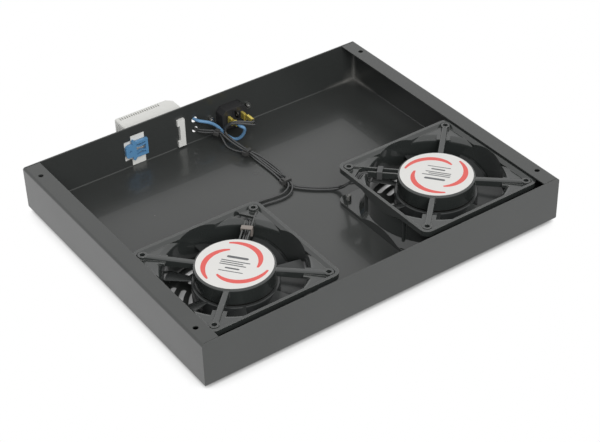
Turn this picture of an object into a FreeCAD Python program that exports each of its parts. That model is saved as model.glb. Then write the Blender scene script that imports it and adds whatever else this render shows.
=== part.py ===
import FreeCAD, Part
import math
import os
from FreeCAD import Rotation, Vector

# Fan tray for a small server cabinet: a folded steel tray with two axial fans, a mains inlet,
# a clip-on thermostat and the wiring between them.
#
# Millimetres. +X runs along the long walls, +Y towards the wall with the inlet and the
# thermostat, +Z up. Everything is drawn with z = 0 on the underside of the tray's base and is
# lowered by one tray height when it is saved, so the part's origin is the centre of the four
# flange holes, on the top face of the flanges.

# ---- Tray -------------------------------------------------------------------------------
TRAY_LENGTH = 350.0
TRAY_DEPTH = 284.0
TRAY_HEIGHT = 41.5
SHEET = 1.2
BEND_INSIDE = 1.0
FLANGE_WIDTH = 15.4
FLANGE_HOLE = 4.5
FLANGE_HOLE_FROM_EDGE = 7.0
FLANGE_HOLE_FROM_END = 19.8
SEAM = 0.4
CORNER_BEAD = 1.6

# ---- Vent pattern under each fan --------------------------------------------------------
VENT_ROWS = 5
VENT_INSIDE_BORE = 3.4
VENT_PITCH = 8.9
VENT_WIDTH = 4.5
VENT_BARS = 6
VENT_BAR_WIDTH = 7.5

# ---- Fans -------------------------------------------------------------------------------
FAN_TO_WALL = 12.8
FAN_Y = -72.5
FAN_SIZE = 120.0
FAN_DEPTH = 38.0
FAN_HOLE_INSET = 7.5
FAN_HOLE = 4.3
FAN_CORNER = 7.0
UPPER_FLANGE = 5.0
LOWER_FLANGE = 3.4
BORE_INSET = 2.5
BARREL_WALL = 2.3
SIDE_RIM = 2.0
FLARE_RUN = 5.0
FLARE_HEIGHT = 6.0
POCKET_DEPTH = 2.7
POCKET_RIM = 2.6
POCKET_SLOPE = 2.4
BOSS_RADIUS = 3.8
BARREL_RIB_RADIUS = 1.8
STRUT_WIDTH = 5.2
STRUT_DEPTH = 5.6
STRUT_DROP = 1.8
STRUT_ROUND = 1.4
LUG_WIDTH = 11.4
LUG_DEPTH = 2.5
CAP_RADIUS = 33.0
CAP_DROP = 0.8
CAP_HEIGHT = 14.0
CAP_WALL = 2.0
CAP_ROUND = 1.8
LABEL_RADIUS = 31.0
LABEL_THICKNESS = 0.2
CHANNEL_WIDTH = 5.0
CHANNEL_RIB = 1.2
CHANNEL_DEPTH = 5.6
CHANNEL_DROP = 1.4
CHANNEL_PLAY = 0.15
LEAD_SLOT_WIDTH = 6.0
CLIP_LENGTH = 4.4
CLIP_RADIUS = 47.6
CLIP_WALL = 0.9

# ---- Fan motor and impeller -------------------------------------------------------------
SHAFT_RADIUS = 2.0
BEARING_RADIUS = 6.5
BEARING_WIDTH = 5.0
TUBE_RADIUS = 8.2
TUBE_BOTTOM = 12.0
STATOR_RADIUS = 24.6
AIR_GAP = 0.4
STATOR_BOTTOM = 10.0
STATOR_DROP = 1.0
WINDING_RADIUS = 22.0
WINDING_GAP = 0.6
ROTOR_RADIUS = 32.4
ROTOR_BOTTOM = 5.2
ROTOR_PLATE = 1.8
ROTOR_GAP = 2.2
ROTOR_BOSS = 6.0
HUB_RADIUS = 35.2
HUB_BOTTOM = 3.4
HUB_RISE = 0.6
BLADES = 7
TIP_CLEARANCE = 1.5
BLADE_THICKNESS = 1.6
BLADE_BOTTOM = 3.0
BLADE_RISE = 0.9
REST_TURN = 25.7
RING_THICKNESS = 0.6
RING_GAP = 0.3
UPPER_SEAT_DROP = 4.4

# ---- Screws -----------------------------------------------------------------------------
FAN_SCREW = 4.0
FAN_SCREW_HEAD = 8.0
FAN_SCREW_HEAD_HEIGHT = 2.4
FAN_SCREW_STICK_OUT = 4.6
INLET_SCREW = 3.0
INLET_NUT_HEIGHT = 2.6

# ---- Mains inlet ------------------------------------------------------------------------
INLET_X = 31.0
INLET_Z = 18.0
INLET_BODY_WIDTH = 26.6
INLET_BODY_HEIGHT = 19.4
INLET_BODY_CHAMFER = 4.0
INLET_BODY_REACH = 10.8
INLET_FLANGE_WIDTH = 50.0
INLET_FLANGE_HEIGHT = 24.0
INLET_FLANGE_THICKNESS = 3.2
INLET_SCREW_SPACING = 40.0
SOCKET_WIDTH = 23.8
SOCKET_HEIGHT = 16.4
SOCKET_FLOOR = 1.6
PIN_WIDTH = 4.0
PIN_THICKNESS = 2.0
PIN_SPACING = 14.0
PIN_SET_BACK = 1.5
PIN_RISE = 0.6
EARTH_RISE = 4.0
TAB_WIDTH = 6.3
TAB_THICKNESS = 0.8
TAB_REACH = 6.4
TAB_NOSE = 1.4
TAB_HOLE = 1.8
RECEPTACLE_LENGTH = 5.6
NECK_LENGTH = 4.2
NECK_HEIGHT = 3.0
CRIMP_RISE = 2.5
RECEPTACLE_HEIGHT = 7.3
RECEPTACLE_WIDTH = 2.6
CRIMP_LENGTH = 8.6
SHORT_CRIMP_LENGTH = 5.0
BRASS = 0.4
RECEPTACLE_FLOOR = 1.4
CRIMP_DEPTH = 5.5
TAB_CLEARANCE = 0.06
CRIMP_CLEARANCE = 0.1
TOWER_REACH = 0.6
TOWER_RIM = 1.0

# ---- Thermostat -------------------------------------------------------------------------
STAT_LEFT = -69.5
STAT_LENGTH = 57.8
STAT_BOTTOM = 0.6
STAT_HEIGHT = 32.9
STAT_DEPTH = 30.4
STAT_BASE_DEPTH = 7.0
STAT_WALL = 1.6
STAT_CHAMFER = 6.0
STAT_ROUND = 1.5
RAIL_LEFT = -57.5
RAIL_WIDTH = 35.0
STAT_GAP = 0.2
SLOT_RIGHT_WIDTH = 5.8
SLOT_BOTTOM = 2.6
SLOT_TOP = 31.2
LIP_REACH = 2.0
LIP_HEIGHT = 6.0
TALL_OPENING_WIDTH = 14.2
SHORT_OPENING_WIDTH = 6.8
SHORT_OPENING_BOTTOM = 8.0
SHORT_OPENING_HEIGHT = 20.0
LATCH_THICKNESS = 2.7
LATCH_GRIP = 1.6
LATCH_TRAVEL = 3.0
LATCH_MIDDLE = 18.4
LATCH_SPINE = 2.6
LATCH_BAR = 2.6
LATCH_ARM = 1.2
LATCH_SAG = 1.3
LATCH_TAB = 9.2
LATCH_FOOT = 2.4
DIAL_X = -49.0
DIAL_RADIUS = 11.0
DIAL_HEIGHT = 4.0
DIAL_PROUD = 1.0
VENT_SLOTS = 18
VENT_SLOT_PITCH = 2.3
VENT_SLOT_WIDTH = 1.1
VENT_SLOT_LENGTH = 4.0
STAT_TERMINAL_X = -20.0
LEAD_ENTRY_Y = 151.6

# ---- Clearances -------------------------------------------------------------------------
SLIDE_CLEARANCE = 0.3
FIT_CLEARANCE = 0.04
LOOSE_CLEARANCE = 0.25

# ---- Wires and ties ---------------------------------------------------------------------
LEAD_DIAMETER = 1.9
BLUE_DIAMETER = 3.0
WIRE_HOLE_X = -5.4
WIRE_HOLE_DIAMETER = 6.0
WIRE_HOLE_HIGH_Z = 24.0
WIRE_HOLE_LOW_Z = 13.5
TIE_WIDTH = 3.6
TIE_THICKNESS = 1.1
TIE_HEAD = 4.2
BUNDLE_GAP = 0.2
BUNDLE_CLEARANCE = 0.25

# ---- Places that follow from the sizes above --------------------------------------------
FAN_Z = SHEET
HALF_HOLES = FAN_SIZE / 2 - FAN_HOLE_INSET
BORE_RADIUS = FAN_SIZE / 2 - BORE_INSET
FLARE_RADIUS = BORE_RADIUS + FLARE_RUN
VENT_OUTER_RADIUS = BORE_RADIUS - VENT_INSIDE_BORE
BARREL_RADIUS = BORE_RADIUS + BARREL_WALL
POCKET_FLOOR = FAN_DEPTH - POCKET_DEPTH
WEB_BOTTOM = FAN_DEPTH - UPPER_FLANGE
CAP_TOP = FAN_DEPTH - CAP_DROP
CAP_BOTTOM = CAP_TOP - CAP_HEIGHT
STRUT_CAP_TOP = FAN_DEPTH - STRUT_DROP
CHANNEL_FLOOR = FAN_DEPTH - CHANNEL_DEPTH
CHANNEL_TOP = FAN_DEPTH - CHANNEL_DROP
ROTOR_TOP = CAP_BOTTOM - ROTOR_GAP
HUB_TOP = ROTOR_TOP + HUB_RISE
BLADE_TOP = HUB_TOP + BLADE_RISE
STATOR_TOP = ROTOR_TOP - STATOR_DROP
WINDING_TOP = CAP_TOP - CAP_WALL - WINDING_GAP
TIP_RADIUS = BORE_RADIUS - TIP_CLEARANCE
BEND_OUTSIDE = BEND_INSIDE + SHEET
WALL_IN = TRAY_DEPTH / 2 - SHEET
WALL_OUT = TRAY_DEPTH / 2
HOLES_X = TRAY_LENGTH / 2 - FLANGE_HOLE_FROM_EDGE
FAN_X = TRAY_LENGTH / 2 - SHEET - FAN_TO_WALL - FAN_SIZE / 2
HOLES_Y = TRAY_DEPTH / 2 - FLANGE_HOLE_FROM_END
STAT_BACK = WALL_OUT + STAT_GAP
STAT_SPLIT = STAT_BACK + STAT_BASE_DEPTH
STAT_FRONT = STAT_BACK + STAT_DEPTH
STAT_RIGHT = STAT_LEFT + STAT_LENGTH
STAT_TOP = STAT_BOTTOM + STAT_HEIGHT
RAIL_RIGHT = RAIL_LEFT + RAIL_WIDTH
STAT_MIDDLE_Z = STAT_BOTTOM + STAT_HEIGHT / 2
INLET_BACK = WALL_IN - INLET_BODY_REACH
INLET_FACE = WALL_OUT + INLET_FLANGE_THICKNESS
X, Y, Z = Vector(1, 0, 0), Vector(0, 1, 0), Vector(0, 0, 1)


# ---- Small helpers ----------------------------------------------------------------------
def box(x0, x1, y0, y1, z0, z1):
    """Box between two corners."""
    return Part.makeBox(x1 - x0, y1 - y0, z1 - z0, Vector(x0, y0, z0))


def rod(radius, start, end):
    """Round bar from one point to another."""
    return Part.makeCylinder(radius, (end - start).Length, start, end - start)


def disc(radius, z0, z1, x=0.0, y=0.0):
    """Upright cylinder."""
    return Part.makeCylinder(radius, z1 - z0, Vector(x, y, z0))


def ring(outer, inner, z0, z1):
    """Upright tube."""
    return disc(outer, z0, z1).cut(disc(inner, z0 - 1, z1 + 1))


def prism(points, depth):
    """Closed flat outline pushed along a vector."""
    wire = Part.makePolygon([Vector(*p) for p in points] + [Vector(*points[0])])
    return Part.Face(wire).extrude(depth)


def turned(points):
    """Outline of (radius, z) points turned about Z."""
    wire = Part.makePolygon([Vector(r, 0, z) for r, z in points + points[:1]])
    return Part.Face(wire).revolve(Vector(0, 0, 0), Z, 360)


def rounded_block(width, depth, corner, z0, z1):
    """Upright block with rounded vertical edges, centred on Z."""
    block = box(-width / 2, width / 2, -depth / 2, depth / 2, z0, z1)
    upright = [e for e in block.Edges if abs(e.tangentAt(e.FirstParameter).z) > 0.9]
    return block.makeFillet(corner, upright)


def around(shape, angle):
    """Copy turned about Z by an angle in degrees."""
    copy = shape.copy()
    copy.rotate(Vector(0, 0, 0), Z, angle)
    return copy


def moved(shape, x, y, z):
    """Copy moved by x, y, z."""
    copy = shape.copy()
    copy.translate(Vector(x, y, z))
    return copy


def edges_along(shape, axis, where):
    """Straight edges along an axis whose middle passes a test."""
    found = []
    for edge in shape.Edges:
        if abs(edge.tangentAt(edge.FirstParameter).dot(axis)) > 0.999:
            middle = (edge.Vertexes[0].Point + edge.Vertexes[-1].Point) * 0.5
            if where(middle):
                found.append(edge)
    return found


def slot_prism(start, end, width, z0, z1):
    """Upright prism of a slot with round ends."""
    length = (end - start).Length
    side = Vector(-(end - start).y, (end - start).x, 0).normalize() * (width / 2)
    cap = (end - start).normalize() * (width / 2)
    a, b, c, d = start + side, end + side, end - side, start - side
    outline = Part.Wire([Part.LineSegment(a, b).toShape(), Part.Arc(b, end + cap, c).toShape(),
                         Part.LineSegment(c, d).toShape(), Part.Arc(d, start - cap, a).toShape()])
    face = Part.Face(outline)
    face.translate(Vector(0, 0, z0 - start.z))
    return face.extrude(Vector(0, 0, z1 - z0))


PARTS = {}


def save(name, shape):
    """Keep a shape under its node name, in the part's own frame."""
    solids = shape.Solids
    PARTS[name] = moved(solids[0] if len(solids) == 1 else Part.makeCompound(solids),
                        0, 0, -TRAY_HEIGHT)


# ---- Tray body --------------------------------------------------------------------------
def vent_slot(radius, middle_angle):
    """Upright prism of one curved vent slot, centred on Z."""
    share = 2 * math.pi / VENT_BARS
    half = share / 2 - (VENT_BAR_WIDTH + VENT_WIDTH) / 2 / radius

    def at(r, angle):
        turn = middle_angle + angle
        return Vector(r * math.cos(turn), r * math.sin(turn), -1)

    outer, inner = radius + VENT_WIDTH / 2, radius - VENT_WIDTH / 2
    cap = VENT_WIDTH / 2 / radius
    outline = Part.Wire([
        Part.Arc(at(outer, -half), at(outer, 0), at(outer, half)).toShape(),
        Part.Arc(at(outer, half), at(radius, half + cap), at(inner, half)).toShape(),
        Part.Arc(at(inner, half), at(inner, 0), at(inner, -half)).toShape(),
        Part.Arc(at(inner, -half), at(radius, -half - cap), at(outer, -half)).toShape()])
    return Part.Face(outline).extrude(Vector(0, 0, SHEET + 2))


def vent_pattern():
    """All vent slots under one fan."""
    slots = []
    for row in range(VENT_ROWS):
        radius = VENT_OUTER_RADIUS - row * VENT_PITCH
        for bar in range(VENT_BARS):
            slots.append(vent_slot(radius, (bar + 0.5) * 2 * math.pi / VENT_BARS))
    return Part.makeCompound(slots)


def fan_places():
    """Name, x and turn of each fan: the right one is turned a quarter."""
    return [("left_fan", -FAN_X, 0), ("right_fan", FAN_X, 90)]


def fan_hole_places():
    """The four screw holes of a fan, from its middle."""
    return [(sx * HALF_HOLES, sy * HALF_HOLES) for sx in (-1, 1) for sy in (-1, 1)]


def folded_tub():
    """Sheet tub with bent-in flanges on its two short sides."""
    half_x, half_y = TRAY_LENGTH / 2, TRAY_DEPTH / 2
    outer = box(-half_x, half_x, -half_y, half_y, 0, TRAY_HEIGHT)
    foot = edges_along(outer, X, lambda p: p.z < 1) + edges_along(outer, Y, lambda p: p.z < 1)
    brow = edges_along(outer, Y, lambda p: p.z > 1)
    outer = outer.makeFillet(BEND_OUTSIDE, foot + brow)
    inner = box(-half_x + SHEET, half_x - SHEET, -WALL_IN, WALL_IN, SHEET, TRAY_HEIGHT - SHEET)
    inner = inner.makeFillet(CORNER_BEAD, edges_along(inner, Z, lambda p: True))
    foot = [e for e in inner.Edges if e.BoundBox.ZMax < SHEET + 0.1]
    brow = edges_along(inner, Y, lambda p: p.z > SHEET + 1)
    inner = inner.makeFillet(BEND_INSIDE, foot + brow)
    mouth = half_x - FLANGE_WIDTH
    opening = box(-mouth, mouth, -WALL_IN, WALL_IN, TRAY_HEIGHT - 2 * SHEET, TRAY_HEIGHT + 1)
    return outer.cut([inner, opening])


def rear_wall_openings():
    """Cut-outs of the rear wall: latch, hook, wire holes and inlet."""
    y0, y1 = WALL_IN - 1, WALL_OUT + 1
    tall = box(RAIL_LEFT - TALL_OPENING_WIDTH, RAIL_LEFT, y0, y1, SHEET, SLOT_TOP + SHEET)
    short_left = RAIL_LEFT - TALL_OPENING_WIDTH - SHORT_OPENING_WIDTH
    short = box(short_left, RAIL_LEFT - 1, y0, y1, SHORT_OPENING_BOTTOM,
                SHORT_OPENING_BOTTOM + SHORT_OPENING_HEIGHT)
    hook = box(RAIL_RIGHT, RAIL_RIGHT + SLOT_RIGHT_WIDTH, y0, y1, SLOT_BOTTOM, SLOT_TOP)
    high = rod(WIRE_HOLE_DIAMETER / 2, Vector(WIRE_HOLE_X, y0, WIRE_HOLE_HIGH_Z),
               Vector(WIRE_HOLE_X, y1, WIRE_HOLE_HIGH_Z))
    low = rod(WIRE_HOLE_DIAMETER / 2, Vector(WIRE_HOLE_X, y0, WIRE_HOLE_LOW_Z),
              Vector(WIRE_HOLE_X, y1, WIRE_HOLE_LOW_Z))
    inlet = inlet_outline(INLET_BODY_WIDTH + 2 * LOOSE_CLEARANCE,
                          INLET_BODY_HEIGHT + 2 * LOOSE_CLEARANCE, y0, y1)
    screws = [rod(INLET_SCREW / 2 + LOOSE_CLEARANCE, Vector(x, y0, INLET_Z), Vector(x, y1, INLET_Z))
              for x in inlet_screw_places()]
    return [tall, short, hook, high, low, inlet] + screws


def tray_body():
    """The folded tray with every hole in it."""
    tub = folded_tub()
    holes = []
    for name, x, turn in fan_places():
        holes.append(moved(vent_pattern(), x, FAN_Y, 0))
        for hx, hy in fan_hole_places():
            holes.append(disc(FAN_HOLE / 2, -1, SHEET + 1, x + hx, FAN_Y + hy))
    for sx in (-1, 1):
        for sy in (-1, 1):
            holes.append(disc(FLANGE_HOLE / 2, TRAY_HEIGHT - 2 * SHEET, TRAY_HEIGHT + 1,
                              sx * HOLES_X, sy * HOLES_Y))
            inside, outside = TRAY_LENGTH / 2 - FLANGE_WIDTH - 1, TRAY_LENGTH / 2 - BEND_OUTSIDE
            x0, x1 = sorted((sx * inside, sx * outside))
            y0, y1 = sorted((sy * WALL_IN, sy * (WALL_IN - SEAM)))
            holes.append(box(x0, x1, y0, y1, TRAY_HEIGHT - 2 * SHEET, TRAY_HEIGHT + 1))
    return tub.cut(holes + rear_wall_openings())


# ---- Fan frame --------------------------------------------------------------------------
def along_diagonal(shape, angle):
    """Shape drawn along +X, turned to a diagonal of the fan."""
    return around(shape, 45 + angle)


def bore_cut():
    """Bore with a flare at each face, the flares stopped by the straight sides."""
    top, low = POCKET_FLOOR, LOWER_FLANGE
    bore = disc(BORE_RADIUS, -1, FAN_DEPTH + 1)
    upper = turned_arc_flare(top, top - FLARE_HEIGHT, FAN_DEPTH + 1)
    lower = turned_arc_flare(0, FLARE_HEIGHT, -1)
    limits = []
    for rim in (POCKET_RIM + POCKET_SLOPE, SIDE_RIM):
        half = FAN_SIZE / 2 - rim
        limits.append(box(-half, half, -half, half, -2, FAN_DEPTH + 2))
    return bore.fuse([upper.common(limits[0]), lower.common(limits[1])])


def turned_arc_flare(mouth_z, throat_z, open_z):
    """Bell mouth between the bore and the flare radius."""
    run = FLARE_RADIUS - BORE_RADIUS
    way = 1 if mouth_z > throat_z else -1
    bend = Vector(BORE_RADIUS + run * (1 - math.cos(math.pi / 4)), 0,
                  throat_z + way * abs(mouth_z - throat_z) * math.sin(math.pi / 4))
    throat, mouth = Vector(BORE_RADIUS, 0, throat_z), Vector(FLARE_RADIUS, 0, mouth_z)
    far, axis_far = Vector(FLARE_RADIUS, 0, open_z), Vector(0, 0, open_z)
    axis_near = Vector(0, 0, throat_z)
    edges = [Part.Arc(throat, bend, mouth).toShape(), Part.LineSegment(mouth, far).toShape(),
             Part.LineSegment(far, axis_far).toShape(),
             Part.LineSegment(axis_far, axis_near).toShape(),
             Part.LineSegment(axis_near, throat).toShape()]
    return Part.Face(Part.Wire(edges)).revolve(Vector(0, 0, 0), Z, 360)


def rounded_outline(half, corner, z):
    """Flat square outline with rounded corners, centred on Z."""
    flat = half - corner
    edges = []
    for turn in (0, 90, 180, 270):
        side = Part.LineSegment(Vector(half, -flat, z), Vector(half, flat, z)).toShape()
        middle = flat + corner * math.sin(math.pi / 4)
        bend = Part.Arc(Vector(half, flat, z), Vector(middle, middle, z),
                        Vector(flat, half, z)).toShape()
        edges += [around(side, turn), around(bend, turn)]
    return Part.Wire(edges)


def pocket_cut():
    """Shallow pocket of the upper flange with a sloped rim, left standing at the bosses."""
    top_half, top_corner = FAN_SIZE / 2 - POCKET_RIM, FAN_CORNER - POCKET_RIM
    pit = Part.makeLoft([
        rounded_outline(top_half - POCKET_SLOPE, top_corner - POCKET_SLOPE, POCKET_FLOOR),
        rounded_outline(top_half, top_corner, FAN_DEPTH)], True, True)
    return pit.cut([disc(BOSS_RADIUS, 0, FAN_DEPTH + 1, hx, hy) for hx, hy in fan_hole_places()])


def barrel():
    """Outer wall of the bore, widening to the web at both ends, with upright ribs."""
    out, wide = BARREL_RADIUS, FLARE_RADIUS + BARREL_WALL
    low, high = LOWER_FLANGE, WEB_BOTTOM
    shell = turned([(0, 0), (wide, 0), (wide, low), (out, low + FLARE_HEIGHT),
                    (out, high - FLARE_HEIGHT), (wide, high), (wide, POCKET_FLOOR),
                    (0, POCKET_FLOOR)])
    ribs = []
    for quarter in range(4):
        for lean in (-20, 20):
            turn = math.radians(45 + 90 * quarter + lean)
            ribs.append(disc(BARREL_RIB_RADIUS, low, high, BARREL_RADIUS * math.cos(turn),
                             BARREL_RADIUS * math.sin(turn)))
    return shell.fuse(ribs)


def plain_strut():
    """Strut along +X from the motor cap to a corner boss, rising a little, with a round top."""
    end = HALF_HOLES * math.sqrt(2)
    start = CAP_RADIUS - CAP_WALL
    half = STRUT_WIDTH / 2
    outline = [(start, -half, STRUT_CAP_TOP - STRUT_DEPTH), (start, -half, STRUT_CAP_TOP),
               (end, -half, FAN_DEPTH), (end, -half, WEB_BOTTOM),
               (BORE_RADIUS + 1, -half, STRUT_CAP_TOP - STRUT_DEPTH)]
    bar = prism(outline, Vector(0, STRUT_WIDTH, 0))
    ridge = [e for e in bar.Edges if abs(abs(e.CenterOfMass.y) - half) < 0.01
             and e.CenterOfMass.z > STRUT_CAP_TOP and e.Length > 20]
    bar = bar.makeFillet(STRUT_ROUND, ridge)
    lugs = box(BORE_RADIUS - LUG_DEPTH, FLARE_RADIUS + 0.5, -LUG_WIDTH / 2, LUG_WIDTH / 2,
               WEB_BOTTOM, POCKET_FLOOR)
    return bar.fuse(lugs)


def wire_channel():
    """Two ribs and a floor along +X that carry the leads to the corner."""
    half = CHANNEL_WIDTH / 2
    start, end = CAP_RADIUS - CAP_WALL, HALF_HOLES * math.sqrt(2)
    bottom = CHANNEL_FLOOR - CHANNEL_RIB
    floor = box(start, FLARE_RADIUS, -half - CHANNEL_RIB, half + CHANNEL_RIB, bottom,
                CHANNEL_FLOOR)
    right = box(start, end, -half - CHANNEL_RIB, -half, bottom, CHANNEL_TOP)
    left = box(start, BORE_RADIUS, half, half + CHANNEL_RIB, bottom, CHANNEL_TOP)
    return floor.fuse([right, left])


def lead_slot():
    """Opening beside the corner boss where the leads leave the channel through the web."""
    half = CHANNEL_WIDTH / 2
    start, end = Vector(FLARE_RADIUS, 0.2, 0), Vector(FLARE_RADIUS + 2.5, 11.4, 0)
    mouth = box(BORE_RADIUS - 2, FLARE_RADIUS, -half, half, CHANNEL_FLOOR, FAN_DEPTH + 1)
    mouth = mouth.fuse(box(BORE_RADIUS + 1, FLARE_RADIUS, 0, half + CHANNEL_RIB, CHANNEL_FLOOR,
                           FAN_DEPTH + 1))
    return mouth.fuse(slot_prism(start, end, LEAD_SLOT_WIDTH, CHANNEL_FLOOR - 4, FAN_DEPTH + 1))


def motor_cap():
    """Cup over the motor with the bearing tube in its middle."""
    radius, shoulder = CAP_RADIUS, CAP_ROUND
    inside = radius - CAP_WALL
    ceiling = CAP_TOP - CAP_WALL
    seat, bore = BEARING_RADIUS + FIT_CLEARANCE, BEARING_RADIUS - 1
    low_seat, high_seat = TUBE_BOTTOM + BEARING_WIDTH, ceiling - UPPER_SEAT_DROP - BEARING_WIDTH
    cup = turned([(0, ceiling), (inside, ceiling), (inside, CAP_BOTTOM), (radius, CAP_BOTTOM),
                  (radius, CAP_TOP), (0, CAP_TOP)])
    rim = [e for e in cup.Edges if abs(e.CenterOfMass.z - CAP_TOP) < 0.01 and e.Length > 9]
    cup = cup.makeFillet(shoulder, rim)
    tube = turned([(bore, low_seat), (seat, low_seat), (seat, TUBE_BOTTOM),
                   (TUBE_RADIUS, TUBE_BOTTOM), (TUBE_RADIUS, ceiling + 0.5),
                   (seat, ceiling + 0.5), (seat, high_seat), (bore, high_seat)])
    mouth = box(radius - CAP_WALL - 1, radius + 1, -CHANNEL_WIDTH / 2, CHANNEL_WIDTH / 2,
                CHANNEL_FLOOR, ceiling)
    return cup.fuse(tube).cut(along_diagonal(mouth, 0))


def fan_frame():
    """Cast frame of one fan, wire channel towards +X +Y."""
    upper = rounded_block(FAN_SIZE, FAN_SIZE, FAN_CORNER, WEB_BOTTOM, FAN_DEPTH)
    lower = rounded_block(FAN_SIZE, FAN_SIZE, FAN_CORNER, 0, LOWER_FLANGE)
    envelope = rounded_block(FAN_SIZE, FAN_SIZE, FAN_CORNER, 0, FAN_DEPTH)
    shell = upper.cut(pocket_cut()).fuse([lower, barrel().common(envelope)]).cut(bore_cut())
    struts = [along_diagonal(plain_strut(), turn) for turn in (90, 180, 270)]
    channel = along_diagonal(wire_channel(), 0)
    inside_cap = disc(CAP_RADIUS - CAP_WALL, 0, CAP_TOP)
    arms = [arm.cut(inside_cap) for arm in struts + [channel]]
    frame = shell.fuse(arms + [motor_cap()])
    holes = [disc(FAN_HOLE / 2, -1, FAN_DEPTH + 1, hx, hy) for hx, hy in fan_hole_places()]
    return frame.cut(holes + [along_diagonal(lead_slot(), 0)]).removeSplitter()


# ---- Fan motor and impeller -------------------------------------------------------------
def stator():
    """Laminated core with its windings, pressed on the bearing tube."""
    bore = TUBE_RADIUS + FIT_CLEARANCE
    top = STATOR_TOP
    return turned([(bore, STATOR_BOTTOM + 2), (bore + 3, STATOR_BOTTOM + 2),
                   (bore + 3, ROTOR_BOTTOM + ROTOR_PLATE + 1),
                   (WINDING_RADIUS - 2, ROTOR_BOTTOM + ROTOR_PLATE + 1),
                   (WINDING_RADIUS - 2, STATOR_BOTTOM), (STATOR_RADIUS, STATOR_BOTTOM),
                   (STATOR_RADIUS, top), (WINDING_RADIUS, top), (WINDING_RADIUS, WINDING_TOP),
                   (bore + 3, WINDING_TOP), (bore + 3, top), (bore, top)])


def bearings():
    """Two ball bearings in the tube."""
    inner, outer = SHAFT_RADIUS + FIT_CLEARANCE, BEARING_RADIUS
    high = CAP_TOP - CAP_WALL - UPPER_SEAT_DROP - BEARING_WIDTH
    gap = FIT_CLEARANCE
    pair = [ring(outer, inner, TUBE_BOTTOM, TUBE_BOTTOM + BEARING_WIDTH - gap),
            ring(outer, inner, high + gap, high + BEARING_WIDTH)]
    return Part.makeCompound(pair)


def shaft():
    """Motor shaft with its groove for the retaining ring."""
    top = CAP_TOP - CAP_WALL - 1.6
    groove = CAP_TOP - CAP_WALL - UPPER_SEAT_DROP + RING_GAP
    core = SHAFT_RADIUS - 0.5
    return turned([(0, ROTOR_BOTTOM), (SHAFT_RADIUS, ROTOR_BOTTOM), (SHAFT_RADIUS, groove),
                   (core, groove), (core, groove + RING_THICKNESS + 0.1),
                   (SHAFT_RADIUS, groove + RING_THICKNESS + 0.1), (SHAFT_RADIUS, top), (0, top)])


def retaining_ring():
    """Split ring that keeps the shaft in its bearings."""
    groove = CAP_TOP - CAP_WALL - UPPER_SEAT_DROP + RING_GAP
    whole = ring(SHAFT_RADIUS * 2, SHAFT_RADIUS - 0.5 + FIT_CLEARANCE, groove + 0.05,
                 groove + 0.05 + RING_THICKNESS)
    return whole.cut(box(0, SHAFT_RADIUS * 3, -1.2, 1.2, groove - 1, groove + 2))


def rotor():
    """Steel cup that turns round the stator, with a boss for the shaft."""
    inside = STATOR_RADIUS + AIR_GAP
    plate = ROTOR_BOTTOM + ROTOR_PLATE
    bore = SHAFT_RADIUS + FIT_CLEARANCE
    return turned([(bore, ROTOR_BOTTOM), (ROTOR_RADIUS, ROTOR_BOTTOM), (ROTOR_RADIUS, ROTOR_TOP),
                   (inside, ROTOR_TOP), (inside, plate), (ROTOR_BOSS, plate),
                   (ROTOR_BOSS, TUBE_BOTTOM - 0.8), (bore, TUBE_BOTTOM - 0.8)])


def blade_section(x, chord, pitch, camber):
    """Curved thin section across +X: chord, pitch angle and camber height."""
    half, thin = chord / 2, BLADE_THICKNESS / 2
    middle_z = (BLADE_BOTTOM + BLADE_TOP) / 2
    cos, sin = math.cos(math.radians(pitch)), math.sin(math.radians(pitch))

    def at(u, v):
        return Vector(x, u * cos - v * sin, middle_z + u * sin + v * cos)

    edge = thin * 0.45
    edges = [Part.Arc(at(-half, edge), at(0, camber + thin), at(half, edge)).toShape(),
             Part.LineSegment(at(half, edge), at(half, -edge)).toShape(),
             Part.Arc(at(half, -edge), at(0, camber - thin), at(-half, -edge)).toShape(),
             Part.LineSegment(at(-half, -edge), at(-half, edge)).toShape()]
    return Part.Wire(edges)


def impeller():
    """Hub that wraps the rotor cup, with twisted blades."""
    inside = ROTOR_RADIUS + FIT_CLEARANCE
    hub = turned([(0, HUB_BOTTOM), (HUB_RADIUS, HUB_BOTTOM), (HUB_RADIUS, HUB_TOP),
                  (inside, HUB_TOP), (inside, ROTOR_BOTTOM - FIT_CLEARANCE),
                  (0, ROTOR_BOTTOM - FIT_CLEARANCE)])
    rims = [e for e in hub.Edges if e.Length > 2 * math.pi * HUB_RADIUS - 1]
    hub = hub.makeFillet(1.0, [e for e in rims if abs(e.CenterOfMass.z - HUB_TOP) < 0.1])
    height = BLADE_TOP - BLADE_BOTTOM
    wires = []
    for x, pitch in ((28.0, 43.0), (42.0, 35.0), (TIP_RADIUS + 2, 29.0)):
        chord = (height - BLADE_THICKNESS) / math.sin(math.radians(pitch))
        wires.append(blade_section(x, chord, pitch, chord * 0.09))
    blade = Part.makeLoft(wires, True)
    band = ring(TIP_RADIUS, HUB_RADIUS - 0.8, BLADE_BOTTOM - 1, BLADE_TOP + 2)
    blade = blade.common(band)
    blades = [around(blade, 360 / BLADES * i) for i in range(BLADES)]
    return around(hub.fuse(blades), REST_TURN)


def label():
    """Round label on the motor cap."""
    return disc(LABEL_RADIUS, CAP_TOP, CAP_TOP + LABEL_THICKNESS)


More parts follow.
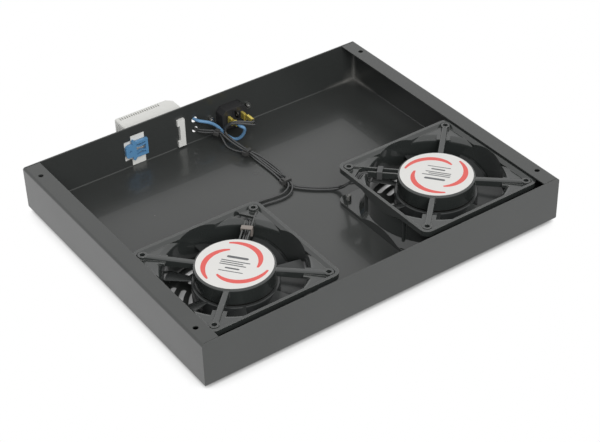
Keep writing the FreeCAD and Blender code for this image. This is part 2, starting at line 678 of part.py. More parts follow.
def wire_clip():
    """Clip that bridges the wire channel and hooks under its floor."""
    half = CHANNEL_WIDTH / 2 + CHANNEL_RIB + 0.1
    outer = half + CLIP_WALL
    x0, x1 = CLIP_RADIUS - CLIP_LENGTH / 2, CLIP_RADIUS + CLIP_LENGTH / 2
    top, low = CHANNEL_TOP + 0.1, CHANNEL_FLOOR - CHANNEL_RIB - 0.1
    outline = [(x0, -outer, top + CLIP_WALL), (x0, outer, top + CLIP_WALL),
               (x0, outer, low - CLIP_WALL), (x0, half - 1.2, low - CLIP_WALL),
               (x0, half - 1.2, low), (x0, half, low), (x0, half, top), (x0, -half, top),
               (x0, -half, low), (x0, -half + 1.2, low), (x0, -half + 1.2, low - CLIP_WALL),
               (x0, -outer, low - CLIP_WALL)]
    return along_diagonal(prism(outline, Vector(x1 - x0, 0, 0)), 0)


def fan_screws():
    """Four pan-head screws from under the tray, up through the fan's lower flange."""
    tip = SHEET + LOWER_FLANGE + FAN_SCREW_STICK_OUT
    screws = []
    for hx, hy in fan_hole_places():
        head = disc(FAN_SCREW_HEAD / 2, -FAN_SCREW_HEAD_HEIGHT, 0, hx, hy)
        rim = [e for e in head.Edges if abs(e.CenterOfMass.z + FAN_SCREW_HEAD_HEIGHT) < 0.01]
        head = head.makeFillet(1.2, rim)
        recess = [box(hx - 2, hx + 2, hy - 0.5, hy + 0.5, -FAN_SCREW_HEAD_HEIGHT - 1, -1.2),
                  box(hx - 0.5, hx + 0.5, hy - 2, hy + 2, -FAN_SCREW_HEAD_HEIGHT - 1, -1.2)]
        shank = disc(FAN_SCREW / 2, -0.5, tip, hx, hy)
        shank = shank.makeChamfer(0.5, [e for e in shank.Edges if e.CenterOfMass.z > tip - 0.1
                                        and e.Length > 9])
        screws.append(head.cut(recess).fuse(shank))
    return Part.makeCompound(screws)


def make_fans():
    """Every piece of both fans, in its place."""
    pieces = {"frame": fan_frame(), "label": label(), "stator": stator(), "bearings": bearings(),
              "shaft": shaft(), "retaining_ring": retaining_ring(), "rotor": rotor(),
              "impeller": impeller(), "wire_clip": wire_clip()}
    screws = fan_screws()
    for name, x, turn in fan_places():
        for piece, shape in pieces.items():
            save(name + "_" + piece, moved(around(shape, turn), x, FAN_Y, FAN_Z))
        save(name + "_screws", moved(screws, x, FAN_Y, 0))


# ---- Mains inlet ------------------------------------------------------------------------
def inlet_screw_places():
    return [INLET_X - INLET_SCREW_SPACING / 2, INLET_X + INLET_SCREW_SPACING / 2]


def inlet_outline(width, height, y0, y1):
    """Block along Y with its two upper edges cut off, centred on the inlet."""
    w, h, c = width / 2, height / 2, INLET_BODY_CHAMFER
    points = [(-w, -h), (w, -h), (w, h - c), (w - c, h), (-w + c, h), (-w, h - c)]
    return prism([(INLET_X + px, y0, INLET_Z + pz) for px, pz in points], Vector(0, y1 - y0, 0))


def inlet_body():
    """Moulded inlet: flange outside the wall, body through it, socket, towers at the tabs."""
    half = INLET_FLANGE_WIDTH / 2
    round_end = INLET_FLANGE_HEIGHT / 2
    ends = [rod(4.6, Vector(x, WALL_OUT, INLET_Z), Vector(x, INLET_FACE, INLET_Z))
            for x in (INLET_X - half + 4.6, INLET_X + half - 4.6)]
    w = half - 4.6
    slope = [(-w, -4.6), (-w + 7, -round_end), (w - 7, -round_end), (w, -4.6), (w, 4.6),
             (w - 7, round_end), (-w + 7, round_end), (-w, 4.6)]
    plate = prism([(INLET_X + px, WALL_OUT, INLET_Z + pz) for px, pz in slope],
                  Vector(0, INLET_FLANGE_THICKNESS, 0))
    body = inlet_outline(INLET_BODY_WIDTH, INLET_BODY_HEIGHT, INLET_BACK, INLET_FACE)
    towers = []
    for x, z in pin_places():
        towers.append(box(x - 2.2, x + 2.2, INLET_BACK - TOWER_REACH, INLET_BACK + 1,
                          z - TAB_WIDTH / 2 - TOWER_RIM, z + TAB_WIDTH / 2 + TOWER_RIM))
    solid = plate.fuse(ends + [body] + towers)
    socket = inlet_outline(SOCKET_WIDTH, SOCKET_HEIGHT, INLET_BACK + SOCKET_FLOOR, INLET_FACE + 1)
    holes = []
    for x in inlet_screw_places():
        holes.append(rod(INLET_SCREW / 2 + LOOSE_CLEARANCE, Vector(x, WALL_OUT - 1, INLET_Z),
                         Vector(x, INLET_FACE + 1, INLET_Z)))
        holes.append(Part.makeCone(INLET_SCREW / 2 + LOOSE_CLEARANCE, INLET_SCREW + LOOSE_CLEARANCE,
                                   INLET_SCREW / 2, Vector(x, INLET_FACE - INLET_SCREW / 2,
                                                           INLET_Z), Y))
    for x, z in pin_places():
        holes.append(pin_bar(x, z, FIT_CLEARANCE, INLET_BACK - 3, INLET_BACK + 4, True))
    return solid.cut([socket] + holes)


def pin_places():
    """Line, earth and neutral pins: x and z."""
    z = INLET_Z + PIN_RISE
    return [(INLET_X - PIN_SPACING / 2, z), (INLET_X, z + EARTH_RISE),
            (INLET_X + PIN_SPACING / 2, z)]


def pin_bar(x, z, play, y0, y1, tab):
    """Flat bar of a pin, or of its thinner tab, along Y."""
    width = TAB_WIDTH if tab else PIN_WIDTH
    thick = TAB_THICKNESS if tab else PIN_THICKNESS
    return box(x - thick / 2 - play, x + thick / 2 + play, y0, y1, z - width / 2 - play,
               z + width / 2 + play)


def inlet_pins():
    """Three pins in the socket, each one with its tab behind."""
    seat = INLET_BACK + SOCKET_FLOOR
    pins = []
    for x, z in pin_places():
        blade = pin_bar(x, z, 0, seat + FIT_CLEARANCE, INLET_FACE - PIN_SET_BACK, False)
        tip = edges_along(blade, X, lambda p: p.y > INLET_FACE - 2)
        tip += edges_along(blade, Z, lambda p: p.y > INLET_FACE - 2)
        blade = blade.makeChamfer(0.6, tip)
        tab = pin_bar(x, z, 0, INLET_BACK - TAB_REACH, seat + 1, True)
        nose = edges_along(tab, X, lambda p: p.y < INLET_BACK - TAB_REACH + 1)
        tab = tab.makeChamfer(TAB_NOSE, nose)
        hole_y = INLET_BACK - TAB_REACH * 0.6
        hole = rod(TAB_HOLE / 2, Vector(x - 2, hole_y, z), Vector(x + 2, hole_y, z))
        overhang = pin_bar(x, z, 0, seat, seat + 2, True)
        overhang = overhang.cut(pin_bar(x, z, 0, seat - 1, seat + 3, False))
        pins.append(blade.fuse(tab.cut([overhang, hole])))
    return Part.makeCompound(pins)


def receptacle(x, z, wire, count, crimp):
    """Push-on terminal: rolled box on the tab, bent neck, and an oval crimp round its wires."""
    back = INLET_BACK - TOWER_REACH - LOOSE_CLEARANCE
    front = back - RECEPTACLE_LENGTH
    neck = front - NECK_LENGTH
    end = neck - crimp
    w, h = RECEPTACLE_WIDTH / 2, RECEPTACLE_HEIGHT / 2
    grip_x = TAB_THICKNESS / 2 + TAB_CLEARANCE
    grip_z = TAB_WIDTH / 2 + TAB_CLEARANCE
    outer = box(x - w, x + w, front, back, z - h, z + h)
    outer = outer.makeFillet(0.7, edges_along(outer, Y, lambda p: True))
    tip = INLET_BACK - TAB_REACH - TAB_CLEARANCE
    inner = box(x - grip_x, x + grip_x, tip, back + 1, z - grip_z, z + grip_z)
    hollow_x = wire / 2 + CRIMP_CLEARANCE
    hollow_z = (count * wire + (count - 1) * BUNDLE_GAP) / 2 + CRIMP_CLEARANCE
    wall_x, wall_z = hollow_x + BRASS, hollow_z + BRASS
    high = z + CRIMP_RISE
    barrel_outer = box(x - wall_x, x + wall_x, end, neck, high - wall_z, high + wall_z)
    barrel_outer = barrel_outer.makeFillet(0.9, edges_along(barrel_outer, Y, lambda p: True))
    hollow = box(x - hollow_x, x + hollow_x, end - 1, end + min(CRIMP_DEPTH, crimp - BRASS),
                 high - hollow_z, high + hollow_z)
    slim, waist = NECK_HEIGHT / 2, neck + NECK_LENGTH * 0.3
    web = prism([(x - w / 2, front + 0.4, z - h + 0.8), (x - w / 2, front + 0.4, z + h - 0.8),
                 (x - w / 2, waist, high + slim), (x - w / 2, neck - 0.4, high + slim),
                 (x - w / 2, neck - 0.4, high - slim), (x - w / 2, waist, high - slim)],
                Vector(w, 0, 0))
    return outer.fuse(web).cut(inner).fuse(barrel_outer.cut(hollow))


def inlet_screws():
    """Two countersunk screws through the inlet's flange."""
    screws = []
    radius = INLET_SCREW / 2
    arm, blade = INLET_SCREW * 0.53, INLET_SCREW * 0.1
    tip = WALL_IN - INLET_NUT_HEIGHT - INLET_SCREW * 0.67
    for x in inlet_screw_places():
        top = INLET_FACE - 0.1
        head = Part.makeCone(radius, 2 * radius, radius, Vector(x, top - radius, INLET_Z), Y)
        shank = rod(radius, Vector(x, top - radius, INLET_Z), Vector(x, tip, INLET_Z))
        cross = [box(x - arm, x + arm, top - 1, top + 1, INLET_Z - blade, INLET_Z + blade),
                 box(x - blade, x + blade, top - 1, top + 1, INLET_Z - arm, INLET_Z + arm)]
        screws.append(head.fuse(shank).cut(cross))
    return Part.makeCompound(screws)


def inlet_nuts():
    """Hexagon nuts on the inlet screws, inside the tray."""
    nuts = []
    across = INLET_SCREW * 1.83
    for x in inlet_screw_places():
        corner = across / 2 / math.cos(math.radians(30))
        hexagon = [(x + corner * math.cos(math.radians(60 * i)), WALL_IN - INLET_NUT_HEIGHT,
                    INLET_Z + corner * math.sin(math.radians(60 * i))) for i in range(6)]
        nut = prism(hexagon, Vector(0, INLET_NUT_HEIGHT, 0))
        bore = rod(INLET_SCREW / 2 + FIT_CLEARANCE, Vector(x, WALL_IN - 9, INLET_Z),
                   Vector(x, WALL_IN + 1, INLET_Z))
        nuts.append(nut.cut(bore))
    return Part.makeCompound(nuts)


def make_inlet():
    save("inlet_body", inlet_body())
    save("inlet_pins", inlet_pins())
    line, earth, neutral = pin_places()
    save("inlet_line_terminal", receptacle(*line, BLUE_DIAMETER, 1, SHORT_CRIMP_LENGTH))
    save("inlet_neutral_terminal", receptacle(*neutral, LEAD_DIAMETER, 2, CRIMP_LENGTH))
    save("inlet_screws", inlet_screws())
    save("inlet_nuts", inlet_nuts())


# ---- Thermostat -------------------------------------------------------------------------
def latch_window():
    """Height range of the latch between the two guide blocks."""
    return LATCH_MIDDLE - 8.0, LATCH_MIDDLE + 8.0


def stat_base():
    """Back half: plate behind the wall, guide blocks and hook through the openings."""
    low, high = latch_window()
    face = WALL_IN + 0.1
    edge = 0.3
    plate = box(STAT_LEFT, STAT_RIGHT, STAT_BACK, STAT_SPLIT, STAT_BOTTOM, STAT_TOP)
    guide_left = RAIL_LEFT - TALL_OPENING_WIDTH + edge
    guide_right = RAIL_LEFT - edge
    upper = box(guide_left, guide_right, face, STAT_BACK + 1, high + SLIDE_CLEARANCE,
                SLOT_TOP + SHEET - edge)
    lower = box(guide_left, guide_right, face, STAT_BACK + 1, SHEET + edge, low - SLIDE_CLEARANCE)
    tongue = box(RAIL_LEFT - TALL_OPENING_WIDTH - SHORT_OPENING_WIDTH + edge, STAT_LEFT + 1,
                 STAT_BACK, STAT_BACK + 3, SHORT_OPENING_BOTTOM + edge,
                 SHORT_OPENING_BOTTOM + SHORT_OPENING_HEIGHT - edge)
    hook_left, hook_right = RAIL_RIGHT + edge, RAIL_RIGHT + SLOT_RIGHT_WIDTH - edge
    lip_face = WALL_IN - STAT_GAP
    stem = box(hook_left, hook_right, lip_face - 2.4, STAT_BACK + 1, SLOT_BOTTOM + edge,
               SLOT_TOP - edge)
    lips = [box(RAIL_RIGHT - LIP_REACH, hook_left + 1, lip_face - 2.4, lip_face, z, z + LIP_HEIGHT)
            for z in (SLOT_BOTTOM + edge, SLOT_TOP - edge - LIP_HEIGHT)]
    base = plate.fuse([upper, lower, tongue, stem] + lips)
    return base.cut([latch_guide(), spindle_seat()] + clamp_seats())


def latch_guide():
    """T-shaped slide way of the latch, open towards the tray."""
    low, high = latch_window()
    c = SLIDE_CLEARANCE
    foot_left = RAIL_LEFT - TALL_OPENING_WIDTH + LATCH_SPINE - LATCH_FOOT
    left = foot_left - LATCH_TRAVEL - c
    right = RAIL_LEFT + c
    neck = box(left, right, WALL_IN - 1, STAT_BACK + 2.2, low + 3 - c, high - 3 + c)
    head = box(left, right, STAT_BACK + 1.6, STAT_BACK + 4.2, low + 1 - c, high - 1 + c)
    return neck.fuse(head)


def stat_latch():
    """Blue slide: frame hooked over the wall strip, two spring arms, pull tab, T-foot."""
    low, high = latch_window()
    back = WALL_IN - STAT_GAP
    front = back - LATCH_THICKNESS
    hook = RAIL_LEFT + LATCH_GRIP
    spine = RAIL_LEFT - TALL_OPENING_WIDTH + LATCH_SPINE
    left, right = spine + LATCH_BAR / 2, hook - LATCH_BAR
    bend = (left + right) / 2
    m = LATCH_MIDDLE

    def plate(points):
        return prism([(px, front, pz) for px, pz in points], Vector(0, LATCH_THICKNESS, 0))

    edge, arm, sag = high - LATCH_BAR, LATCH_ARM, LATCH_SAG
    rim = edge - m
    frame = plate([(spine - 1, low), (hook, low), (hook, high), (spine - 1, high)])
    ears = plate([(spine - 2.6, low - 1), (spine - 1, low - 2.6), (spine + 1, low - 0.6),
                  (spine + 1, high + 0.6), (spine - 1, high + 2.6), (spine - 2.6, high + 1)])
    windows = [plate([(left, m - rim + sag + arm), (bend, m - rim + 2 * sag + arm),
                      (right, m - rim + sag + arm), (right, m + rim - sag - arm),
                      (bend, m + rim - 2 * sag - arm), (left, m + rim - sag - arm)])]
    for s in (-1, 1):
        windows.append(plate([(left, m + s * rim), (right, m + s * rim),
                              (right, m + s * (rim - sag)), (bend, m + s * (rim - 2 * sag)),
                              (left, m + s * (rim - sag))]))
    tab_left = spine - LATCH_TAB
    tab = box(tab_left, spine, front, back, m - 6.2, m + 6.2)
    tab = tab.makeFillet(3.0, edges_along(tab, Y, lambda p: p.x < tab_left + 1))
    pull_hole = rod(1.2, Vector(tab_left + 4.6, front - 1, m), Vector(tab_left + 4.6, back + 1, m))
    stem = box(spine - 2, left, back - 1, STAT_BACK + 2, low + 3, high - 3)
    foot = box(spine - LATCH_FOOT, left + 0.6, STAT_BACK + 1.9, STAT_BACK + 3.9, low + 1, high - 1)
    return frame.fuse([ears, tab]).cut(windows + [pull_hole]).fuse([stem, foot])


def terminal_heights():
    """Heights of the two terminals, level with the wire holes."""
    return [WIRE_HOLE_HIGH_Z, WIRE_HOLE_LOW_Z]


def clamp_seats():
    """Pockets in the base for the two terminal clamps."""
    play = FIT_CLEARANCE
    return [box(STAT_TERMINAL_X - 4 - play, STAT_TERMINAL_X + 4 + play, STAT_SPLIT - 2,
                STAT_SPLIT + 1, z - 3.6 - play, z + 3.6 + play) for z in terminal_heights()]


def spindle_seat():
    """Blind hole that the dial's spindle turns in."""
    return rod(2.5 + FIT_CLEARANCE, Vector(DIAL_X, STAT_SPLIT - 3, STAT_MIDDLE_Z),
               Vector(DIAL_X, STAT_SPLIT + 1, STAT_MIDDLE_Z))


def stat_clamps():
    """Two brass cage clamps, each open towards its lead."""
    clamps = []
    for z in terminal_heights():
        cage = box(STAT_TERMINAL_X - 4, STAT_TERMINAL_X + 4, STAT_SPLIT - 2 + FIT_CLEARANCE,
                   STAT_SPLIT + 8, z - 3.6, z + 3.6)
        hollow = box(STAT_TERMINAL_X - 5, STAT_TERMINAL_X + 5, STAT_SPLIT - 0.6, STAT_SPLIT + 5.4,
                     z - 2.6, z + 2.6)
        screw = rod(1.5 + FIT_CLEARANCE, Vector(STAT_TERMINAL_X, STAT_SPLIT + 5, z),
                    Vector(STAT_TERMINAL_X, STAT_SPLIT + 9, z))
        clamps.append(cage.cut([hollow, screw]))
    return Part.makeCompound(clamps)


def stat_clamp_screws():
    """Slotted screws of the two clamps, reached through the cover."""
    screws = []
    for z in terminal_heights():
        foot = Vector(STAT_TERMINAL_X, STAT_SPLIT + 4.6, z)
        top = Vector(STAT_TERMINAL_X, STAT_SPLIT + 12, z)
        neck = Vector(STAT_TERMINAL_X, STAT_SPLIT + 10, z)
        slot = box(STAT_TERMINAL_X - 3, STAT_TERMINAL_X + 3, top.y - 0.9, top.y + 1, z - 0.4,
                   z + 0.4)
        screws.append(rod(1.5, foot, top).fuse(rod(2.4, neck, top)).cut(slot))
    return Part.makeCompound(screws)


def stat_cover():
    """Vented shell with a dial opening, screw wells and lead entries."""
    shell = box(STAT_LEFT, STAT_RIGHT, STAT_SPLIT, STAT_FRONT, STAT_BOTTOM, STAT_TOP)
    corner = edges_along(shell, Z, lambda p: p.x > STAT_RIGHT - 1 and p.y > STAT_FRONT - 1)
    shell = shell.makeChamfer(STAT_CHAMFER, corner)
    rest = [e for e in shell.Edges if e.CenterOfMass.y > STAT_FRONT - 0.1]
    rest += edges_along(shell, Z, lambda p: p.x < STAT_LEFT + 1 and p.y > STAT_FRONT - 1)
    rest += edges_along(shell, Y, lambda p: p.x < STAT_LEFT + 1)
    shell = shell.makeFillet(STAT_ROUND, list({e.hashCode(): e for e in rest}.values()))
    w = STAT_WALL
    room = box(STAT_LEFT + w, STAT_RIGHT - w, STAT_SPLIT - 1, STAT_FRONT - w, STAT_BOTTOM + w,
               STAT_TOP - w)
    room = room.makeChamfer(STAT_CHAMFER - w / 2, edges_along(
        room, Z, lambda p: p.x > STAT_RIGHT - 3 and p.y > STAT_FRONT - 3))
    cuts = [room]
    start = STAT_LEFT + 3.6
    y1 = STAT_FRONT - 1.8
    for i in range(VENT_SLOTS):
        x = start + i * VENT_SLOT_PITCH
        cuts.append(box(x, x + VENT_SLOT_WIDTH, y1 - VENT_SLOT_LENGTH, y1, STAT_BOTTOM - 1,
                        STAT_TOP + 1))
    y = STAT_SPLIT + 2.4
    while y < STAT_FRONT - 3:
        cuts.append(box(STAT_LEFT - 1, STAT_LEFT + w + 1, y, y + VENT_SLOT_WIDTH,
                        STAT_BOTTOM + 3, STAT_TOP - 3))
        y += VENT_SLOT_PITCH
    cuts.append(rod(DIAL_RADIUS + 0.5, Vector(DIAL_X, STAT_FRONT - w - 1, STAT_MIDDLE_Z),
                    Vector(DIAL_X, STAT_FRONT + 1, STAT_MIDDLE_Z)))
    for z in terminal_heights():
        cuts.append(rod(2.8, Vector(STAT_TERMINAL_X, STAT_FRONT - w - 1, z),
                        Vector(STAT_TERMINAL_X, STAT_FRONT + 1, z)))
    for z, height in ((WIRE_HOLE_HIGH_Z, 4.0), (WIRE_HOLE_LOW_Z, 5.4)):
        cuts.append(box(STAT_RIGHT - w - 1, STAT_RIGHT + 1, LEAD_ENTRY_Y - 2.0,
                        LEAD_ENTRY_Y + 2.0, z - height / 2, z + height / 2))
    return shell.cut(cuts)


def stat_dial():
    """Setting dial with its spindle, turning in the base."""
    top = STAT_FRONT + DIAL_PROUD
    head = rod(DIAL_RADIUS, Vector(DIAL_X, top - DIAL_HEIGHT, STAT_MIDDLE_Z),
               Vector(DIAL_X, top, STAT_MIDDLE_Z))
    rim = [e for e in head.Edges if abs(e.CenterOfMass.y - top) < 0.01]
    head = head.makeFillet(0.8, rim)
    spindle = rod(2.5, Vector(DIAL_X, STAT_SPLIT - 3 + FIT_CLEARANCE, STAT_MIDDLE_Z),
                  Vector(DIAL_X, top - DIAL_HEIGHT + 1, STAT_MIDDLE_Z))
    slot = box(DIAL_X - 5, DIAL_X + 5, top - 1.2, top + 1, STAT_MIDDLE_Z - 0.7,
               STAT_MIDDLE_Z + 0.7)
    mark = box(DIAL_X - 0.5, DIAL_X + 0.5, top - 0.6, top + 1, STAT_MIDDLE_Z + 6.4,
               STAT_MIDDLE_Z + DIAL_RADIUS + 1)
    return head.fuse(spindle).cut([slot, mark])


def stat_bimetal():
    """Bimetal strip on a foot in the base, cranked towards the clamps."""
    foot_x = STAT_LEFT + 6
    y = STAT_SPLIT
    outline = [(foot_x, y, STAT_MIDDLE_Z + 8), (foot_x + 2, y, STAT_MIDDLE_Z + 8),
               (foot_x + 2, y + 3, STAT_MIDDLE_Z + 8), (-34, y + 4.6, STAT_MIDDLE_Z + 8),
               (-34, y + 5.4, STAT_MIDDLE_Z + 8), (foot_x, y + 4, STAT_MIDDLE_Z + 8)]
    return prism(outline, Vector(0, 0, 4.5))


def make_thermostat():
    save("thermostat_base", stat_base())
    save("thermostat_latch", stat_latch())
    save("thermostat_cover", stat_cover())
    save("thermostat_dial", stat_dial())
    save("thermostat_bimetal", stat_bimetal())
    save("thermostat_clamps", stat_clamps())
    save("thermostat_clamp_screws", stat_clamp_screws())


# ---- Wires ------------------------------------------------------------------------------
def smooth_path(points):
    """Wire of straight runs joined by tangent arcs, with its length and its radii."""
    points = [Vector(*p) for p in points]
    edges, radii, here = [], [], points[0]
    for before, corner, after in zip(points, points[1:], points[2:]):
        arrive, leave = (corner - before), (after - corner)
        turn = arrive.getAngle(leave)
        reach = 0.45 * min(arrive.Length, leave.Length)
        radius = reach / math.tan(turn / 2)
        radii.append(radius)
        a = corner - arrive.normalize() * reach
        b = corner + leave.normalize() * reach
        toward = ((a + b) * 0.5 - corner).normalize()
        middle = corner + toward * (radius / math.cos(turn / 2) - radius)
        edges.append(Part.LineSegment(here, a).toShape())
        edges.append(Part.Arc(a, middle, b).toShape())
        here = b
    edges.append(Part.LineSegment(here, points[-1]).toShape())
    return Part.Wire(edges), radii


def tube(name, points, diameter):
    """Save one wire of the harness as a round tube along its route."""
    path, radii = smooth_path(points)
    start = Vector(*points[0])
    circle = Part.Wire(Part.makeCircle(diameter / 2, start, Vector(*points[1]) - start))
    solid = path.makePipeShell([circle], True, True)
    section = math.pi * diameter ** 2 / 4
    turns = ", ".join("%.1f" % r for r in radii)
    print("%s: length %.1f, volume against section times length %.4f, radii %s"
          % (name, path.Length, solid.Volume / section / path.Length, turns))
    save(name, solid)


def tie(name, centre, heading, stack):
    """Cable tie round a bundle: band, lock head on one side, cut tail out of the head."""
    across, high = [count * LEAD_DIAMETER + (count - 1) * BUNDLE_GAP + 2 * BUNDLE_CLEARANCE
                    for count in stack]
    half, t = TIE_WIDTH / 2, TIE_THICKNESS
    y0, y1, z0, z1 = -across / 2, across / 2, -high / 2, high / 2
    outer = box(-half, half, y0 - t, y1 + t, z0 - t, z1 + t)
    outer = outer.makeFillet(1.2, edges_along(outer, X, lambda p: True))
    inner = box(-half - 1, half + 1, y0, y1, z0, z1)
    inner = inner.makeFillet(0.5, edges_along(inner, X, lambda p: True))
    head_top = z1 + t + 0.4
    head = box(-half - 0.6, half + 0.6, y1 + 0.4, y1 + t + TIE_HEAD - 0.6, head_top - TIE_HEAD,
               head_top)
    head = head.makeFillet(0.5, edges_along(head, X, lambda p: True))
    y2 = y1 + t + 0.9
    dish = box(-half - 0.1, half + 0.1, y2 - 0.2, y2 + t + 0.5, head_top - 0.7, head_top + 1)
    tail = box(-half + 0.1, half - 0.1, y2, y2 + t - 0.1, head_top - 1, head_top + 1.3)
    shape = outer.fuse(head).cut([inner, dish]).fuse(tail)
    turn = Rotation(X, Vector(*heading))
    roll = math.degrees(math.atan2(turn.multVec(Y).z, turn.multVec(Z).z))
    shape.rotate(Vector(0, 0, 0), X, -roll)
    shape.rotate(Vector(0, 0, 0), turn.Axis, math.degrees(turn.Angle))
    save(name, moved(shape, *centre))


def in_fan(side, beyond, aside, rise):
    """Route point in a fan's wire channel: past the flare, off the middle, over a lying lead."""
    r = FLARE_RADIUS + beyond
    along, across = (r - aside) / math.sqrt(2), (r + aside) / math.sqrt(2)
    z = FAN_Z + CHANNEL_FLOOR + CHANNEL_PLAY + LEAD_DIAMETER / 2 + rise
    if side < 0:
        return -FAN_X + along, FAN_Y + across, z
    return FAN_X - across, FAN_Y + along, z


# Routes of the harness, as points chosen by hand (x, y, height over the base's underside).
BLUE_ROUTE = [
    (-21.0, 151.6, 24.0), (-10.0, 151.6, 24.0), (-6.0, 149.2, 24.0), (-5.2, 143.0, 24.1),
    (-4.0, 137.0, 24.2), (-0.2, 133.8, 23.6), (4.8, 132.4, 21.4), (10.2, 132.2, 17.2),
    (14.4, 131.0, 12.4), (16.9, 128.4, 8.0), (19.2, 124.2, 4.8), (21.8, 120.0, 3.2),
    (25.2, 116.4, 4.6), (28.4, 113.0, 8.4), (30.4, 110.4, 12.6), (30.6, 108.8, 16.6),
    (28.8, 107.6, 20.4), (25.4, 108.8, 21.6), (24.0, 111.8, 21.1), (24.0, 117.6, 21.1)]
LEFT_LINE_ROUTE = [
    (-21.0, 151.6, 14.55), (-10.8, 151.6, 14.55), (-6.5, 148.8, 14.6), (-5.4, 142.6, 14.6),
    (-3.4, 137.4, 14.4), (1.6, 133.4, 13.8), (8.29, 129.28, 12.96), (11.77, 125.02, 11.9),
    (12.4, 118.6, 10.2), (13.8, 110.6, 8.2), (16.0, 102.4, 6.6), (17.99, 94.77, 5.75),
    (19.79, 88.63, 5.75), (21.2, 82.6, 4.4), (22.4, 75.0, 2.6), (22.9, 64.4, 2.45),
    (22.9, 53.0, 2.45), (22.2, 43.4, 4.2), (20.35, 36.7, 5.75), (20.35, 30.3, 5.75),
    (17.6, 26.0, 4.4), (10.6, 23.6, 2.5), (2.0, 24.2, 2.45), (-7.6, 25.6, 2.45),
    (-17.0, 26.6, 2.45), (-26.5, 22.6, 3.6), (-36.0, 15.4, 7.4), (-45.0, 7.4, 12.0),
    (-53.2, -2.0, 17.8), (-59.0, -11.6, 24.2), in_fan(-1, 2.5, 9.6, -5.2),
    in_fan(-1, 0.7, 4.6, -1.0), in_fan(-1, -3.0, 1.05, 0), in_fan(-1, -40.5, 1.05, 0)]
LEFT_NEUTRAL_ROUTE = [
    (38.0, 113.4, 22.15), (38.0, 109.2, 22.15), (36.6, 107.0, 22.6), (33.2, 106.4, 23.8),
    (28.2, 109.0, 25.0), (23.2, 113.2, 25.2), (19.2, 118.2, 23.0), (17.2, 123.0, 18.4),
    (16.2, 125.4, 13.2), (15.1, 123.2, 9.2), (14.6, 117.8, 7.4), (15.9, 110.4, 6.0),
    (18.0, 102.4, 4.4),
    (20.01, 95.37, 3.6), (21.81, 89.23, 3.6), (23.6, 83.0, 2.6), (24.9, 75.0, 2.45),
    (25.3, 64.0, 2.45), (25.2, 52.0, 2.45), (24.4, 42.6, 4.0), (22.45, 36.7, 5.75),
    (22.45, 30.3, 5.75), (21.4, 25.0, 5.0), (16.2, 20.2, 2.9), (8.0, 17.4, 2.45),
    (-1.6, 18.4, 2.45), (-11.6, 20.4, 2.45), (-21.4, 19.0, 2.7), (-31.2, 12.6, 5.8),
    (-40.6, 4.4, 10.8), (-49.4, -4.8, 17.2), (-55.8, -13.4, 24.2), in_fan(-1, 4.5, 7.6, -5.1),
    in_fan(-1, 2.5, 2.4, -1.5), in_fan(-1, -2.0, -1.05, 0), in_fan(-1, -40.5, -1.05, 0)]
RIGHT_LINE_ROUTE = [
    (-21.0, 151.6, 12.45), (-9.6, 151.6, 12.45), (-6.0, 148.4, 12.4), (-5.4, 142.0, 12.4),
    (-3.2, 136.8, 12.1), (1.6, 132.8, 11.5), (8.03, 129.58, 10.9), (11.51, 125.32, 9.84),
    (10.9, 119.6, 6.6), (10.5, 114.8, 3.4), (11.6, 109.4, 2.5), (14.2, 102.0, 2.6),
    (17.99, 94.77, 3.6), (19.79, 88.63, 3.6), (20.0, 82.4, 2.6), (20.2, 74.8, 2.45),
    (20.7, 64.0, 2.45), (20.7, 52.6, 2.45), (19.8, 43.0, 2.45), (20.35, 36.7, 3.6),
    (20.35, 30.3, 3.6), (22.2, 25.6, 2.5), (27.2, 19.4, 2.45), (34.0, 12.8, 2.45),
    (42.0, 6.6, 2.45), (48.6, 2.2, 2.5), (51.6, -2.6, 5.0), (51.4, -8.2, 9.6),
    (48.0, -17.0, 18.2), (44.8, -25.8, 26.4), (45.0, -31.6, 29.6), in_fan(1, 2.2, 9.3, -3.5),
    in_fan(1, 0.7, 4.6, -1.0), in_fan(1, -3.0, 1.05, 0), in_fan(1, -40.5, 1.05, 0)]
RIGHT_NEUTRAL_ROUTE = [
    (38.0, 113.4, 20.05), (38.0, 107.8, 20.05), (36.8, 104.8, 20.8), (33.8, 103.6, 22.2),
    (30.0, 104.8, 23.6), (26.2, 107.6, 24.4), (21.4, 112.0, 24.6), (17.4, 117.2, 22.4),
    (15.2, 120.8, 18.0), (14.5, 121.9, 13.8), (14.7, 119.2, 10.9), (15.4, 114.0, 9.8),
    (17.2, 107.8, 7.8), (19.2, 101.0, 6.5),
    (20.01, 95.37, 5.75), (21.81, 89.23, 5.75), (24.8, 83.6, 4.6), (27.2, 75.4, 2.6),
    (27.8, 64.2, 2.45), (27.4, 52.4, 2.45), (25.9, 42.0, 2.5), (22.45, 36.7, 3.6),
    (22.45, 30.3, 3.6), (25.0, 26.4, 2.5), (29.8, 21.0, 2.45), (36.4, 14.8, 2.45),
    (44.0, 9.0, 2.45), (51.0, 4.6, 2.5), (54.2, -0.8, 5.0), (54.0, -6.6, 10.0),
    (50.6, -15.2, 18.2), (47.6, -23.4, 25.8), (46.8, -27.4, 28.9), in_fan(1, 3.8, 7.35, -3.7),
    in_fan(1, 2.5, 2.4, -1.5), in_fan(1, -2.0, -1.05, 0), in_fan(1, -40.5, -1.05, 0)]


